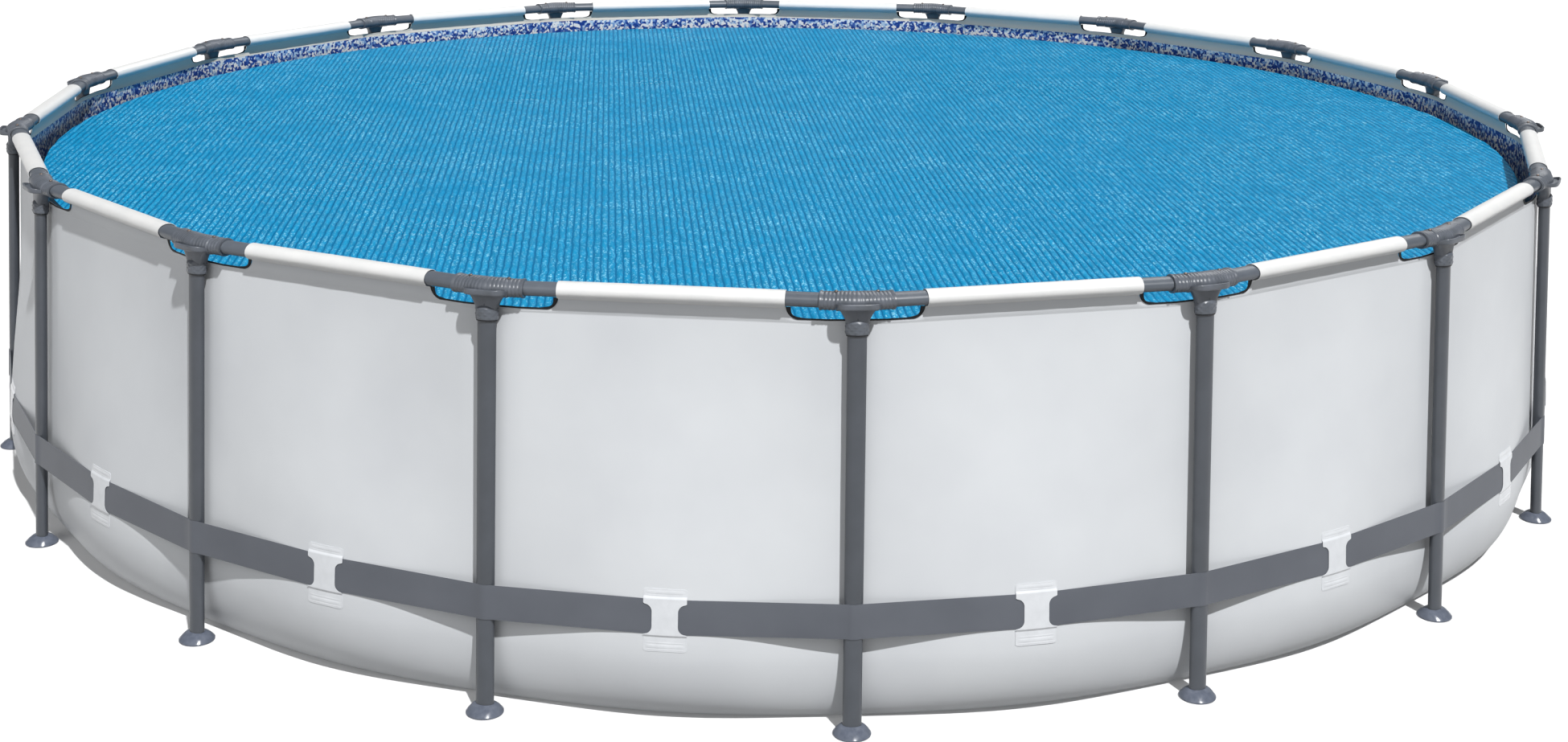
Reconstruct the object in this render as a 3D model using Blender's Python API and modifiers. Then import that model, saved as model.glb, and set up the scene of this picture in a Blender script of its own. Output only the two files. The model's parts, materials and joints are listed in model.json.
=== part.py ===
"""Round steel-frame swimming pool with a floating solar cover.

Eighteen splayed legs stand on foot caps and carry a ring of straight top rails, joined by T connectors.
A sheet liner hangs from the rails and bulges between the legs, a webbing strap runs round the legs through
loops on the liner, and a bubble cover floats inside. Metres, +Z up, origin on the ground at the centre.
"""

import math

import bmesh
import bpy
from mathutils import Matrix, Vector

# The frame ring.
BAYS = 18
RING_RADIUS = 2.745
RAIL_HEIGHT = 1.160
FIRST_LEG_ANGLE = math.radians(-90)
BAY_ANGLE = math.tau / BAYS
HALF_BAY = BAY_ANGLE / 2
FIT_GAP = 0.0004
SIDES = 8
ROUND_SIDES = 12
CUTTER_OVERRUN = 0.025

# Top rails: oval steel tube, wider than it is tall.
RAIL_WIDTH = 0.055
RAIL_DEPTH = 0.0375
TUBE_WALL = 0.0012
RAIL_END_FROM_CENTRE = 0.020

# Legs: oval steel tube, wide face outwards, splayed at the foot, on a flared cap.
LEG_WIDTH = 0.051
LEG_DEPTH = 0.036
LEG_SPLAY = math.radians(5.2)
LEG_OFFSET = 0.0112
LEG_END_HEIGHT = 0.006
FOOT_COLLAR_WALL = 0.0035
FOOT_SPREAD = 0.0225
FOOT_COLLAR_RADIUS = LEG_WIDTH / 2 + FOOT_COLLAR_WALL
FOOT_RADIUS = FOOT_COLLAR_RADIUS + FOOT_SPREAD
FOOT_HEIGHT = 0.026
FOOT_RIM = 0.004
FOOT_FLARE = 0.006
FOOT_FLOOR = 0.008

# T connectors: moulded sleeves over the rails, a socket for the leg and a hooked ledge outside.
ARM_LENGTH = 0.096
ARM_SIDE_WALL = 0.007
ARM_TOP_WALL = 0.00525
ARM_WIDTH = RAIL_WIDTH + 2 * ARM_SIDE_WALL
ARM_DEPTH = RAIL_DEPTH + 2 * ARM_TOP_WALL
SOCKET_STOP = 0.0195
LEG_TOP_CLEARANCE = 0.014
LEG_TOP_BELOW_RAIL = ARM_DEPTH / 2 + LEG_TOP_CLEARANCE
COLLAR_SIDE_WALL = 0.005
COLLAR_FACE_WALL = 0.006
COLLAR_GRIP = 0.043
COLLAR_WIDTH = LEG_WIDTH + 2 * COLLAR_SIDE_WALL
COLLAR_DEPTH = LEG_DEPTH + 2 * COLLAR_FACE_WALL
COLLAR_BOTTOM = LEG_TOP_BELOW_RAIL + COLLAR_GRIP
GUSSET_SPREAD = 0.049
GUSSET_LAP = 0.001
GUSSET_INSET = 0.0038
GUSSET_DROP = 0.026
GUSSET_TOP_WIDTH = COLLAR_WIDTH + GUSSET_SPREAD
GUSSET_BOTTOM_WIDTH = COLLAR_WIDTH + GUSSET_LAP
GUSSET_DEPTH = COLLAR_DEPTH - 2 * GUSSET_INSET
GUSSET_BOTTOM = ARM_DEPTH / 2 + GUSSET_DROP
LEDGE_PROUD = 0.0235
LEDGE_REACH = ARM_WIDTH / 2 + LEDGE_PROUD
LEDGE_WIDTH = 0.118
LEDGE_TIP_WIDTH = 0.098
LEDGE_THICKNESS = 0.007
LEDGE_TOP_BELOW_RAIL = 0.003
LIP_RISE = 0.010
LIP_THICKNESS = 0.006
LIP_PROUD = 0.0005
LIP_INSET = 0.001

# Liner: one welded bag, with a sleeve round each rail and a cut-out at each connector.
LINER_THICKNESS = 0.0012
LINER_LEG_GAP = 0.010
LINER_EDGE_BELOW_RAIL = 0.050
LINER_BULGE = 0.0335
BULGE_DROP = 0.860
BELLY_HEIGHT = 0.210
FLOOR_INSET = 0.0697
BELLY_STEPS = 3
FLAT_ANGLE = math.radians(1.5)
SLEEVE_END_GAP = 0.086
SLEEVE_FROM_CENTRE = ARM_LENGTH + SLEEVE_END_GAP
SLEEVE_GAP = 0.0006
SLEEVE_THICKNESS = 0.0014
HEM_THICKNESS = 0.0034
HEM_BITE = 0.0010
HEM_END_INSET = 0.002
HEM_OVERLAP = 0.012
HEM_FLARE = 0.018

# Restraint strap and the loops that carry it.
STRAP_BOTTOM = 0.270
STRAP_TOP = 0.365
STRAP_THICKNESS = 0.0020
STRAP_GAP = 0.0005
STRAP_BEND_BEYOND_LEG = 0.0041
LOOP_WIDTH = 0.116
LOOP_WAIST = 0.070
LOOP_TAB_TOP = 0.024
LOOP_TAB_BOTTOM = 0.044
LOOP_EDGE_GAP = 0.004
LOOP_THICKNESS = 0.0020
LOOP_TAB_PROUD = 0.0004
LOOP_WAIST_OVERLAP = 0.006
LOOP_ROW_GAP = 0.007
WELD_DEPTH = 0.0008

# Wall fittings, on panels counted anticlockwise from the first leg, and the plugs that close them.
OUTLET_PANEL = 8
OUTLET_HEIGHT = 0.510
INLET_PANEL = 9
INLET_BELOW_RAIL = 0.260
PORT_BORE = 0.0160
PORT_FLANGE_SPREAD = 0.029
PORT_FLANGE_RADIUS = PORT_BORE + PORT_FLANGE_SPREAD
PORT_FLANGE_HALF = 0.004
SPIGOT_WALL = 0.0035
SPIGOT_RADIUS = PORT_BORE + SPIGOT_WALL
SPIGOT_REACH = 0.045
PLUG_HEAD_LAP = 0.008
PLUG_HEAD_RADIUS = PORT_BORE + PLUG_HEAD_LAP
PLUG_HEAD_THICKNESS = 0.0065
PLUG_GRIP_RADIUS = 0.009
PLUG_GRIP_LENGTH = 0.019
PLUG_SHANK_LENGTH = 0.034
DRAIN_PANEL = 10
DRAIN_HEIGHT = 0.155
DRAIN_BORE = 0.0090
DRAIN_BOSS_WALL = 0.0045
DRAIN_FLANGE_SPREAD = 0.0165
DRAIN_BOSS_RADIUS = DRAIN_BORE + DRAIN_BOSS_WALL
DRAIN_FLANGE_RADIUS = DRAIN_BOSS_RADIUS + DRAIN_FLANGE_SPREAD
DRAIN_BOSS_REACH = 0.022
CAP_WALL = 0.0036
CAP_END = 0.0025
CAP_SHORT = 0.0015
CAP_LENGTH = DRAIN_BOSS_REACH - CAP_SHORT
CAP_SIDES = 16

# Solar cover: a floating disc that lifts out between the rails.
COVER_BELOW_RAIL = 0.1105
COVER_THICKNESS = 0.0025
COVER_RAIL_CLEARANCE = 0.010
COVER_SIDES = 60


def empty_scene():
    """Leaves a scene with no objects and no collections."""
    for obj in list(bpy.data.objects):
        bpy.data.objects.remove(obj)
    for collection in list(bpy.data.collections):
        bpy.data.collections.remove(collection)


def new_collection(name, hidden=False):
    collection = bpy.data.collections.new(name)
    collection.hide_render = hidden
    bpy.context.scene.collection.children.link(collection)
    return collection


def new_material(name, colour, roughness, metallic=0.0):
    material = bpy.data.materials.new(name)
    material.use_nodes = True
    shader = material.node_tree.nodes["Principled BSDF"]
    shader.inputs["Base Color"].default_value = (*colour, 1)
    shader.inputs["Roughness"].default_value = roughness
    shader.inputs["Metallic"].default_value = metallic
    return material


def new_object(name, bm, collection, material=None):
    """An object of this bmesh, with its normals facing out and its faces shaded smooth up to 30 degrees."""
    bmesh.ops.recalc_face_normals(bm, faces=bm.faces)
    mesh = bpy.data.meshes.new(name)
    bm.to_mesh(mesh)
    bm.free()
    mesh.shade_smooth()
    mesh.set_sharp_from_angle(angle=math.radians(30))
    return place_mesh(name, mesh, collection, material)


def place_mesh(name, mesh, collection, material=None):
    obj = bpy.data.objects.new(name, mesh)
    collection.objects.link(obj)
    if material and not mesh.materials:
        mesh.materials.append(material)
    if collection.hide_render:
        obj.hide_render = True
        obj.display_type = "WIRE"
    return obj


def finished_mesh(obj, name):
    """The object's mesh with its modifiers applied, for copies to share. The object itself goes."""
    bpy.context.view_layer.update()
    graph = bpy.context.evaluated_depsgraph_get()
    mesh = bpy.data.meshes.new_from_object(obj.evaluated_get(graph))
    mesh.name = name
    bpy.data.objects.remove(obj)
    return mesh


def add_boolean(obj, operation, operand):
    """Joins or cuts with one object, or with every object of a collection."""
    modifier = obj.modifiers.new(operation.title(), "BOOLEAN")
    modifier.operation = operation
    modifier.solver = "EXACT"
    if isinstance(operand, bpy.types.Collection):
        modifier.operand_type = "COLLECTION"
        modifier.collection = operand
    else:
        modifier.object = operand


def add_solidify(obj, thickness, offset):
    modifier = obj.modifiers.new("Solidify", "SOLIDIFY")
    modifier.thickness = thickness
    modifier.offset = offset
    modifier.use_even_offset = True


def ring_point(radius, angle, height):
    return Vector((radius * math.cos(angle), radius * math.sin(angle), height))


def leg_angle(index):
    return FIRST_LEG_ANGLE + index * BAY_ANGLE


def panel_angle(index):
    return leg_angle(index) + HALF_BAY


def oval_prism(bm, start, end, width_axis, width, depth, capped=True, sides=SIDES):
    """A prism of oval section between two points, its width along width_axis."""
    along = end - start
    direction = along.normalized()
    across = (width_axis - direction * width_axis.dot(direction)).normalized()
    other = direction.cross(across)
    frame = Matrix((across * width / 2, other * depth / 2, along)).transposed().to_4x4()
    frame.translation = (start + end) / 2
    bmesh.ops.create_cone(
        bm, cap_ends=capped, segments=sides, radius1=1, radius2=1, depth=1, matrix=frame
    )


def shaped_block(bm, place):
    """A cube whose corners go to place(x_side, y_side, z_side), each side being -1 or 1."""
    corners = bmesh.ops.create_cube(bm, size=2)["verts"]
    for corner in corners:
        corner.co = place(*(round(value) for value in corner.co))


def turned_object(name, profile, collection, material=None, sides=ROUND_SIDES):
    """A solid turned about Z from a profile of (radius, height) points, outer side from top to bottom."""
    mesh = bpy.data.meshes.new(name)
    points = [(radius, 0, height) for radius, height in profile]
    edges = [(index, index + 1) for index in range(len(points) - 1)]
    mesh.from_pydata(points, edges, [])
    obj = place_mesh(name, mesh, collection, material)
    screw = obj.modifiers.new("Screw", "SCREW")
    screw.steps = screw.render_steps = sides
    screw.use_merge_vertices = True
    screw.merge_threshold = 0.0001
    screw.use_smooth_shade = True
    return obj


def leg_radius(height):
    """Distance of a leg's axis from the pool's centre."""
    return RING_RADIUS + LEG_OFFSET + (RAIL_HEIGHT - height) * math.tan(LEG_SPLAY)


def leg_point(height):
    """A point of the leg's axis, seen from the centre of the ring with the leg along +X."""
    return Vector((leg_radius(height), 0, height))


def ring_copies(name, mesh, collection, angle_of):
    """One object for each bay, sharing a mesh that was built along +X."""
    for index in range(BAYS):
        copy = place_mesh(f"{name}_{index + 1:02d}", mesh, collection)
        copy.rotation_euler.z = angle_of(index)


def build_legs(parts, cutters):
    """Oval tubes, open at the top and closed by their foot caps below."""
    steel = new_material("powder_coated_steel", (0.105, 0.112, 0.130), 0.45)
    top = RAIL_HEIGHT - LEG_TOP_BELOW_RAIL
    tangent = Vector((0, 1, 0))
    bm = bmesh.new()
    oval_prism(bm, leg_point(LEG_END_HEIGHT), leg_point(top), tangent, LEG_WIDTH, LEG_DEPTH)
    leg = new_object("leg", bm, parts, steel)
    profile = (
        (0, FOOT_HEIGHT),
        (FOOT_COLLAR_RADIUS, FOOT_HEIGHT),
        (FOOT_COLLAR_RADIUS + FOOT_FLARE, FOOT_HEIGHT / 2),
        (FOOT_RADIUS, FOOT_RIM),
        (FOOT_RADIUS, 0),
        (0, 0),
    )
    foot = turned_object("foot_cap_blank", profile, cutters)
    foot.location.x = leg_radius(0)
    bm = bmesh.new()
    bore_width = LEG_WIDTH - 2 * TUBE_WALL
    bore_depth = LEG_DEPTH - 2 * TUBE_WALL
    oval_prism(bm, leg_point(FOOT_FLOOR), leg_point(RAIL_HEIGHT), tangent, bore_width, bore_depth)
    bore = new_object("leg_bore_cutter", bm, cutters)
    add_boolean(leg, "UNION", foot)
    add_boolean(leg, "DIFFERENCE", bore)
    ring_copies("leg", finished_mesh(leg, "leg"), parts, leg_angle)


def build_rails(parts):
    """Straight oval tubes, each ending inside two connectors."""
    steel = new_material("powder_coated_steel_rail", (0.105, 0.112, 0.130), 0.45)
    apothem = RING_RADIUS * math.cos(HALF_BAY)
    half_length = RING_RADIUS * math.sin(HALF_BAY) - RAIL_END_FROM_CENTRE
    start = Vector((apothem, -half_length, RAIL_HEIGHT))
    end = Vector((apothem, half_length, RAIL_HEIGHT))
    bm = bmesh.new()
    oval_prism(bm, start, end, Vector((1, 0, 0)), RAIL_WIDTH, RAIL_DEPTH, capped=False)
    rail = new_object("top_rail", bm, parts, steel)
    add_solidify(rail, TUBE_WALL, -1)
    ring_copies("top_rail", finished_mesh(rail, "top_rail"), parts, panel_angle)


def connector_arm(bm, near, far, width, depth):
    """A stretch of the arm on the +Y side, by its distances from the connector's centre."""
    centre = Vector((RING_RADIUS, 0, RAIL_HEIGHT))
    along = Vector((-math.sin(HALF_BAY), math.cos(HALF_BAY), 0))
    oval_prism(bm, centre + near * along, centre + far * along, Vector((1, 0, 0)), width, depth)


def ledge_corner(x_side, y_side, z_side):
    """The outer ledge: it starts inside the arms and narrows outwards."""
    reach = LEDGE_REACH if x_side > 0 else ARM_WIDTH / 4
    width = LEDGE_TIP_WIDTH if x_side > 0 else LEDGE_WIDTH
    top = RAIL_HEIGHT - LEDGE_TOP_BELOW_RAIL
    height = top if z_side > 0 else top - LEDGE_THICKNESS
    return (RING_RADIUS + reach, y_side * width / 2, height)


def lip_corner(x_side, y_side, z_side):
    """The upturned lip on the ledge's outer edge."""
    reach = LEDGE_REACH + (LIP_PROUD if x_side > 0 else -LIP_THICKNESS)
    width = LEDGE_TIP_WIDTH - 2 * LIP_INSET
    top = RAIL_HEIGHT - LEDGE_TOP_BELOW_RAIL
    height = top + LIP_RISE if z_side > 0 else top - LEDGE_THICKNESS / 2
    return (RING_RADIUS + reach, y_side * width / 2, height)


def gusset_corner(x_side, y_side, z_side):
    """The web between the arms and the leg socket, wider at its top."""
    width = GUSSET_TOP_WIDTH if z_side > 0 else GUSSET_BOTTOM_WIDTH
    height = RAIL_HEIGHT - (ARM_DEPTH / 4 if z_side > 0 else GUSSET_BOTTOM)
    return (leg_radius(height) + x_side * GUSSET_DEPTH / 2, y_side * width / 2, height)


def build_connectors(parts, cutters, joiners):
    """Moulded T pieces: two rail sockets, a leg socket, a gusset and a hooked ledge."""
    plastic = new_material("moulded_plastic_connector", (0.115, 0.120, 0.138), 0.5)
    tangent = Vector((0, 1, 0))
    bm = bmesh.new()
    connector_arm(bm, -ARM_WIDTH / 2, ARM_LENGTH, ARM_WIDTH, ARM_DEPTH)
    connector = new_object("t_connector", bm, parts, plastic)
    mirror = connector.modifiers.new("Mirror", "MIRROR")
    mirror.use_axis = (False, True, False)
    mirror.use_bisect_axis = (False, True, False)
    mirror.merge_threshold = 0.0001
    bm = bmesh.new()
    low = leg_point(RAIL_HEIGHT - COLLAR_BOTTOM)
    high = leg_point(RAIL_HEIGHT - ARM_DEPTH / 3)
    oval_prism(bm, low, high, tangent, COLLAR_WIDTH, COLLAR_DEPTH)
    new_object("connector_collar", bm, joiners)
    for name, corner in (
        ("connector_gusset", gusset_corner),
        ("connector_ledge", ledge_corner),
        ("connector_lip", lip_corner),
    ):
        bm = bmesh.new()
        shaped_block(bm, corner)
        new_object(name, bm, joiners)
    add_boolean(connector, "UNION", joiners)
    sockets = bmesh.new()
    width, depth = RAIL_WIDTH + 2 * FIT_GAP, RAIL_DEPTH + 2 * FIT_GAP
    connector_arm(sockets, SOCKET_STOP, ARM_LENGTH + CUTTER_OVERRUN, width, depth)
    cutter = new_object("rail_socket_cutter", sockets, cutters)
    other = cutter.modifiers.new("Mirror", "MIRROR")
    other.use_axis = (False, True, False)
    other.merge_threshold = 0.0001
    add_boolean(connector, "DIFFERENCE", cutter)
    bm = bmesh.new()
    bottom = leg_point(RAIL_HEIGHT - COLLAR_BOTTOM - CUTTER_OVERRUN)
    stop = leg_point(RAIL_HEIGHT - LEG_TOP_BELOW_RAIL + FIT_GAP)
    oval_prism(bm, bottom, stop, tangent, LEG_WIDTH + 2 * FIT_GAP, LEG_DEPTH + 2 * FIT_GAP)
    add_boolean(connector, "DIFFERENCE", new_object("leg_socket_cutter", bm, cutters))
    ring_copies("t_connector", finished_mesh(connector, "t_connector"), parts, leg_angle)


def wall_at_leg(height):
    return leg_radius(height) - LEG_DEPTH / 2 - LINER_LEG_GAP


def liner_edge_height():
    return RAIL_HEIGHT - LINER_EDGE_BELOW_RAIL


def wall_radius(height, angle):
    """Outer radius of the liner's wall. The angle is from the middle of a panel."""
    top_edge = wall_at_leg(liner_edge_height())
    chord = RING_RADIUS * math.cos(HALF_BAY) / math.cos(angle)
    hung = min(chord, top_edge) - top_edge
    bulged = LINER_BULGE * math.cos(angle / HALF_BAY * math.pi / 2) ** 2
    drop = min((liner_edge_height() - height) / BULGE_DROP, 1)
    share = (1 - math.cos(math.pi * drop)) / 2
    return wall_at_leg(height) + hung + (bulged - hung) * share


def slot_angle():
    """Angle from a panel's middle to where its sleeve ends."""
    apothem = RING_RADIUS * math.cos(HALF_BAY)
    return math.atan2(RING_RADIUS * math.sin(HALF_BAY) - SLEEVE_FROM_CENTRE, apothem)


def wall_heights():
    """Rows of the wall, from its top edge to the top of its rounded foot."""
    loop_low = STRAP_BOTTOM - LOOP_EDGE_GAP - LOOP_TAB_BOTTOM
    loop_high = STRAP_TOP + LOOP_EDGE_GAP + LOOP_TAB_TOP
    upper = liner_edge_height()
    strap_row = loop_high + LOOP_ROW_GAP
    rows = [upper, (upper + strap_row) / 2]
    return rows + [strap_row, min(BELLY_HEIGHT, loop_low - LOOP_ROW_GAP)]


def panel_turns():
    """Angles from a panel's middle at which the wall has its upright lines."""
    return (-slot_angle(), -FLAT_ANGLE, FLAT_ANGLE, slot_angle(), HALF_BAY)


def wall_ring(bm, radius_of, height):
    """One row of the wall's points, all the way round."""
    ring = []
    for panel in range(BAYS):
        for turn in panel_turns():
            point = ring_point(radius_of(turn), panel_angle(panel) + turn, height)
            ring.append(bm.verts.new(point))
    return ring


def bridge_rings(bm, upper, lower):
    """The faces between two rings of as many points."""
    for index in range(len(upper)):
        after = (index + 1) % len(upper)
        bm.faces.new((upper[index], lower[index], lower[after], upper[after]))


def belly_radius(turn, bend):
    """Outer radius of the rounded foot: the wall's at bend 0, and the floor's edge at a quarter turn."""
    top = wall_heights()[-1]
    widest = wall_radius(top, turn)
    floor_edge = wall_at_leg(top) - FLOOR_INSET
    return widest - (widest - floor_edge) * (1 - math.cos(bend))


def liner_shell():
    """The open bag: straight-hung wall, bulging panels, rounded foot and flat floor."""
    bm = bmesh.new()
    rings = []
    heights = wall_heights()
    for height in heights:
        rings.append(wall_ring(bm, lambda turn: wall_radius(height, turn), height))
    belly = heights[-1]
    for step in range(1, BELLY_STEPS + 1):
        bend = math.pi / 2 * step / BELLY_STEPS
        height = belly * (1 - math.sin(bend))
        rings.append(wall_ring(bm, lambda turn: belly_radius(turn, bend), height))
    for upper, lower in zip(rings, rings[1:]):
        bridge_rings(bm, upper, lower)
    bmesh.ops.triangulate(bm, faces=bm.faces)
    bm.faces.new(rings[-1])
    return bm


def facet_distance(height):
    """Distance of the flat middle of a panel from the pool's centre."""
    rows = wall_heights()
    belly = rows[-1]
    if height > belly:
        pair = next((a, b) for a, b in zip(rows, rows[1:]) if a >= height >= b)
        radii = [wall_radius(row, FLAT_ANGLE) for row in pair]
    else:
        bend = math.pi / 2 / BELLY_STEPS
        pair = (belly, belly * (1 - math.sin(bend)))
        radii = [belly_radius(FLAT_ANGLE, 0), belly_radius(FLAT_ANGLE, bend)]
    share = (pair[0] - height) / (pair[0] - pair[1])
    return (radii[0] + (radii[1] - radii[0]) * share) * math.cos(FLAT_ANGLE)


def facet_tilt(height):
    """How far the wall's outward normal points above the horizontal, from two points 10 mm apart."""
    low, high = height - 0.005, height + 0.005
    return math.atan2(facet_distance(low) - facet_distance(high), high - low)


def add_wall_slab(bm, half_width, low, high, inner, outer):
    """A slab lying on a panel's flat middle, between two offsets from it."""
    heights = {-1: low, 1: high}
    offsets = {-1: inner, 1: outer}
    shaped_block(
        bm,
        lambda x, y, z: (facet_distance(heights[z]) + offsets[x], y * half_width, heights[z]),
    )


def sleeve_half_length():
    return RING_RADIUS * math.sin(HALF_BAY) - SLEEVE_FROM_CENTRE


def add_sleeves(joiners):
    """Sleeves round the rails and the hems that hang the wall from them."""
    apothem = RING_RADIUS * math.cos(HALF_BAY)
    half = sleeve_half_length()
    width = RAIL_WIDTH + 2 * (SLEEVE_GAP + SLEEVE_THICKNESS)
    depth = RAIL_DEPTH + 2 * (SLEEVE_GAP + SLEEVE_THICKNESS)
    bm = bmesh.new()
    start = Vector((apothem, -half, RAIL_HEIGHT))
    end = Vector((apothem, half, RAIL_HEIGHT))
    oval_prism(bm, start, end, Vector((1, 0, 0)), width, depth, capped=False)
    sleeve = new_object("rail_sleeve", bm, joiners)
    add_solidify(sleeve, SLEEVE_THICKNESS, -1)
    sleeve_mesh = finished_mesh(sleeve, "rail_sleeve")
    hem_top = RAIL_HEIGHT - depth / 2 + HEM_BITE
    hem_low = liner_edge_height() - HEM_OVERLAP
    hem_face = apothem - LINER_THICKNESS / 2

    def hem_corner(x_side, y_side, z_side):
        reach = half - HEM_END_INSET + (0 if z_side > 0 else HEM_FLARE)
        height = hem_top if z_side > 0 else hem_low
        return (hem_face + x_side * HEM_THICKNESS / 2, y_side * reach, height)

    bm = bmesh.new()
    shaped_block(bm, hem_corner)
    hem_mesh = finished_mesh(new_object("hem", bm, joiners), "hem")
    ring_copies("rail_sleeve", sleeve_mesh, joiners, panel_angle)
    ring_copies("hem", hem_mesh, joiners, panel_angle)


def add_strap_loops(joiners):
    """H-shaped patches welded to the wall above and below the strap, which passes behind their waists."""
    tunnel = 2 * STRAP_GAP + STRAP_THICKNESS
    low = STRAP_BOTTOM - LOOP_EDGE_GAP
    high = STRAP_TOP + LOOP_EDGE_GAP
    outer = tunnel + LOOP_THICKNESS
    tab_outer = outer + LOOP_TAB_PROUD
    waist_low, waist_high = low - LOOP_WAIST_OVERLAP, high + LOOP_WAIST_OVERLAP
    slabs = {
        "loop_waist": (LOOP_WAIST / 2, waist_low, waist_high, tunnel, outer),
        "loop_top": (LOOP_WIDTH / 2, high, high + LOOP_TAB_TOP, -WELD_DEPTH, tab_outer),
        "loop_bottom": (LOOP_WIDTH / 2, low - LOOP_TAB_BOTTOM, low, -WELD_DEPTH, tab_outer),
    }
    for name, slab in slabs.items():
        bm = bmesh.new()
        add_wall_slab(bm, *slab)
        mesh = finished_mesh(new_object(name, bm, joiners), name)
        ring_copies(name, mesh, joiners, panel_angle)


def fitting_matrix(panel, height):
    """Stands a piece turned about Z on a panel's flat middle, its +Z pointing out of the pool."""
    turn = Matrix.Rotation(panel_angle(panel), 4, "Z")
    out = Matrix.Translation((facet_distance(height), 0, height))
    lean = Matrix.Rotation(math.pi / 2 - facet_tilt(height), 4, "Y")
    return turn @ out @ lean


def add_wall_fitting(name, place, flange_radius, boss_radius, reach, bore, joiners, cutters):
    """A flange welded through the wall with a hollow boss standing out of it."""
    profile = (
        (0, reach),
        (boss_radius, reach),
        (boss_radius, PORT_FLANGE_HALF),
        (flange_radius, PORT_FLANGE_HALF),
        (flange_radius, -PORT_FLANGE_HALF),
        (0, -PORT_FLANGE_HALF),
    )
    turned_object(name, profile, joiners).matrix_world = place
    bm = bmesh.new()
    low, high = Vector((0, 0, -2 * reach)), Vector((0, 0, 2 * reach))
    oval_prism(bm, low, high, Vector((1, 0, 0)), 2 * bore, 2 * bore, sides=ROUND_SIDES)
    new_object(name + "_cutter", bm, cutters).matrix_world = place


def build_liner(parts, joiners, cutters):
    """The bag with its sleeves, loops and wall fittings, all welded into one piece."""
    sheet = new_material("laminated_pvc", (0.66, 0.69, 0.71), 0.5)
    liner = new_object("liner", liner_shell(), parts, sheet)
    add_solidify(liner, LINER_THICKNESS, -1)
    add_sleeves(joiners)
    add_strap_loops(joiners)
    for name, panel, height in (
        ("outlet_port", OUTLET_PANEL, OUTLET_HEIGHT),
        ("inlet_port", INLET_PANEL, RAIL_HEIGHT - INLET_BELOW_RAIL),
    ):
        sizes = (PORT_FLANGE_RADIUS, SPIGOT_RADIUS, SPIGOT_REACH, PORT_BORE)
        add_wall_fitting(name, fitting_matrix(panel, height), *sizes, joiners, cutters)
    drain_place = fitting_matrix(DRAIN_PANEL, DRAIN_HEIGHT)
    drain_sizes = (DRAIN_FLANGE_RADIUS, DRAIN_BOSS_RADIUS, DRAIN_BOSS_REACH, DRAIN_BORE)
    add_wall_fitting("drain_valve", drain_place, *drain_sizes, joiners, cutters)
    add_boolean(liner, "UNION", joiners)
    add_boolean(liner, "DIFFERENCE", cutters)


def build_plugs(parts):
    """Rubber plugs, pushed into the ports from inside the pool."""
    rubber = new_material("moulded_rubber_plug", (0.08, 0.08, 0.09), 0.6)
    face = -PORT_FLANGE_HALF - FIT_GAP
    back = face - PLUG_HEAD_THICKNESS
    shank = PORT_BORE - FIT_GAP
    profile = (
        (0, face + PLUG_SHANK_LENGTH),
        (shank, face + PLUG_SHANK_LENGTH),
        (shank, face),
        (PLUG_HEAD_RADIUS, face),
        (PLUG_HEAD_RADIUS, back),
        (PLUG_GRIP_RADIUS, back),
        (PLUG_GRIP_RADIUS, back - PLUG_GRIP_LENGTH),
        (0, back - PLUG_GRIP_LENGTH),
    )
    for name, panel, height in (
        ("outlet_plug", OUTLET_PANEL, OUTLET_HEIGHT),
        ("inlet_plug", INLET_PANEL, RAIL_HEIGHT - INLET_BELOW_RAIL),
    ):
        plug = turned_object(name, profile, parts, rubber)
        plug.matrix_world = fitting_matrix(panel, height)


def build_drain_cap(parts):
    """A cup that goes over the drain valve's boss."""
    plastic = new_material("moulded_plastic_cap", (0.55, 0.58, 0.60), 0.5)
    low = PORT_FLANGE_HALF + 2 * FIT_GAP
    inside = DRAIN_BOSS_RADIUS + FIT_GAP
    outside = inside + CAP_WALL
    top = low + CAP_LENGTH
    profile = (
        (0, top),
        (outside, top),
        (outside, low),
        (inside, low),
        (inside, top - CAP_END),
        (0, top - CAP_END),
    )
    cap = turned_object("drain_cap", profile, parts, plastic, sides=CAP_SIDES)
    cap.matrix_world = fitting_matrix(DRAIN_PANEL, DRAIN_HEIGHT)


def strap_radius(height, turn):
    """Inner radius of the strap: on the wall at a panel's middle, and outside the leg at its ends."""
    if abs(turn) <= FLAT_ANGLE:
        return (facet_distance(height) + STRAP_GAP) / math.cos(turn)
    outside = leg_radius(height) + LEG_DEPTH / 2 + STRAP_GAP
    return outside / math.cos(HALF_BAY - abs(turn))


def build_strap(parts):
    """A flat webbing band round all the legs, open surface thickened outwards."""
    webbing = new_material("woven_webbing", (0.135, 0.145, 0.168), 0.7)
    bend = HALF_BAY - (LEG_WIDTH / 2 + STRAP_BEND_BEYOND_LEG) / leg_radius(STRAP_TOP)
    bm = bmesh.new()
    rings = []
    for height in (STRAP_TOP, STRAP_BOTTOM):
        ring = []
        for panel in range(BAYS):
            for turn in (-bend, -FLAT_ANGLE, FLAT_ANGLE, bend):
                point = ring_point(strap_radius(height, turn), panel_angle(panel) + turn, height)
                ring.append(bm.verts.new(point))
        rings.append(ring)
    bridge_rings(bm, *rings)
    strap = new_object("restraint_strap", bm, parts, webbing)
    add_solidify(strap, STRAP_THICKNESS, 1)


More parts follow.
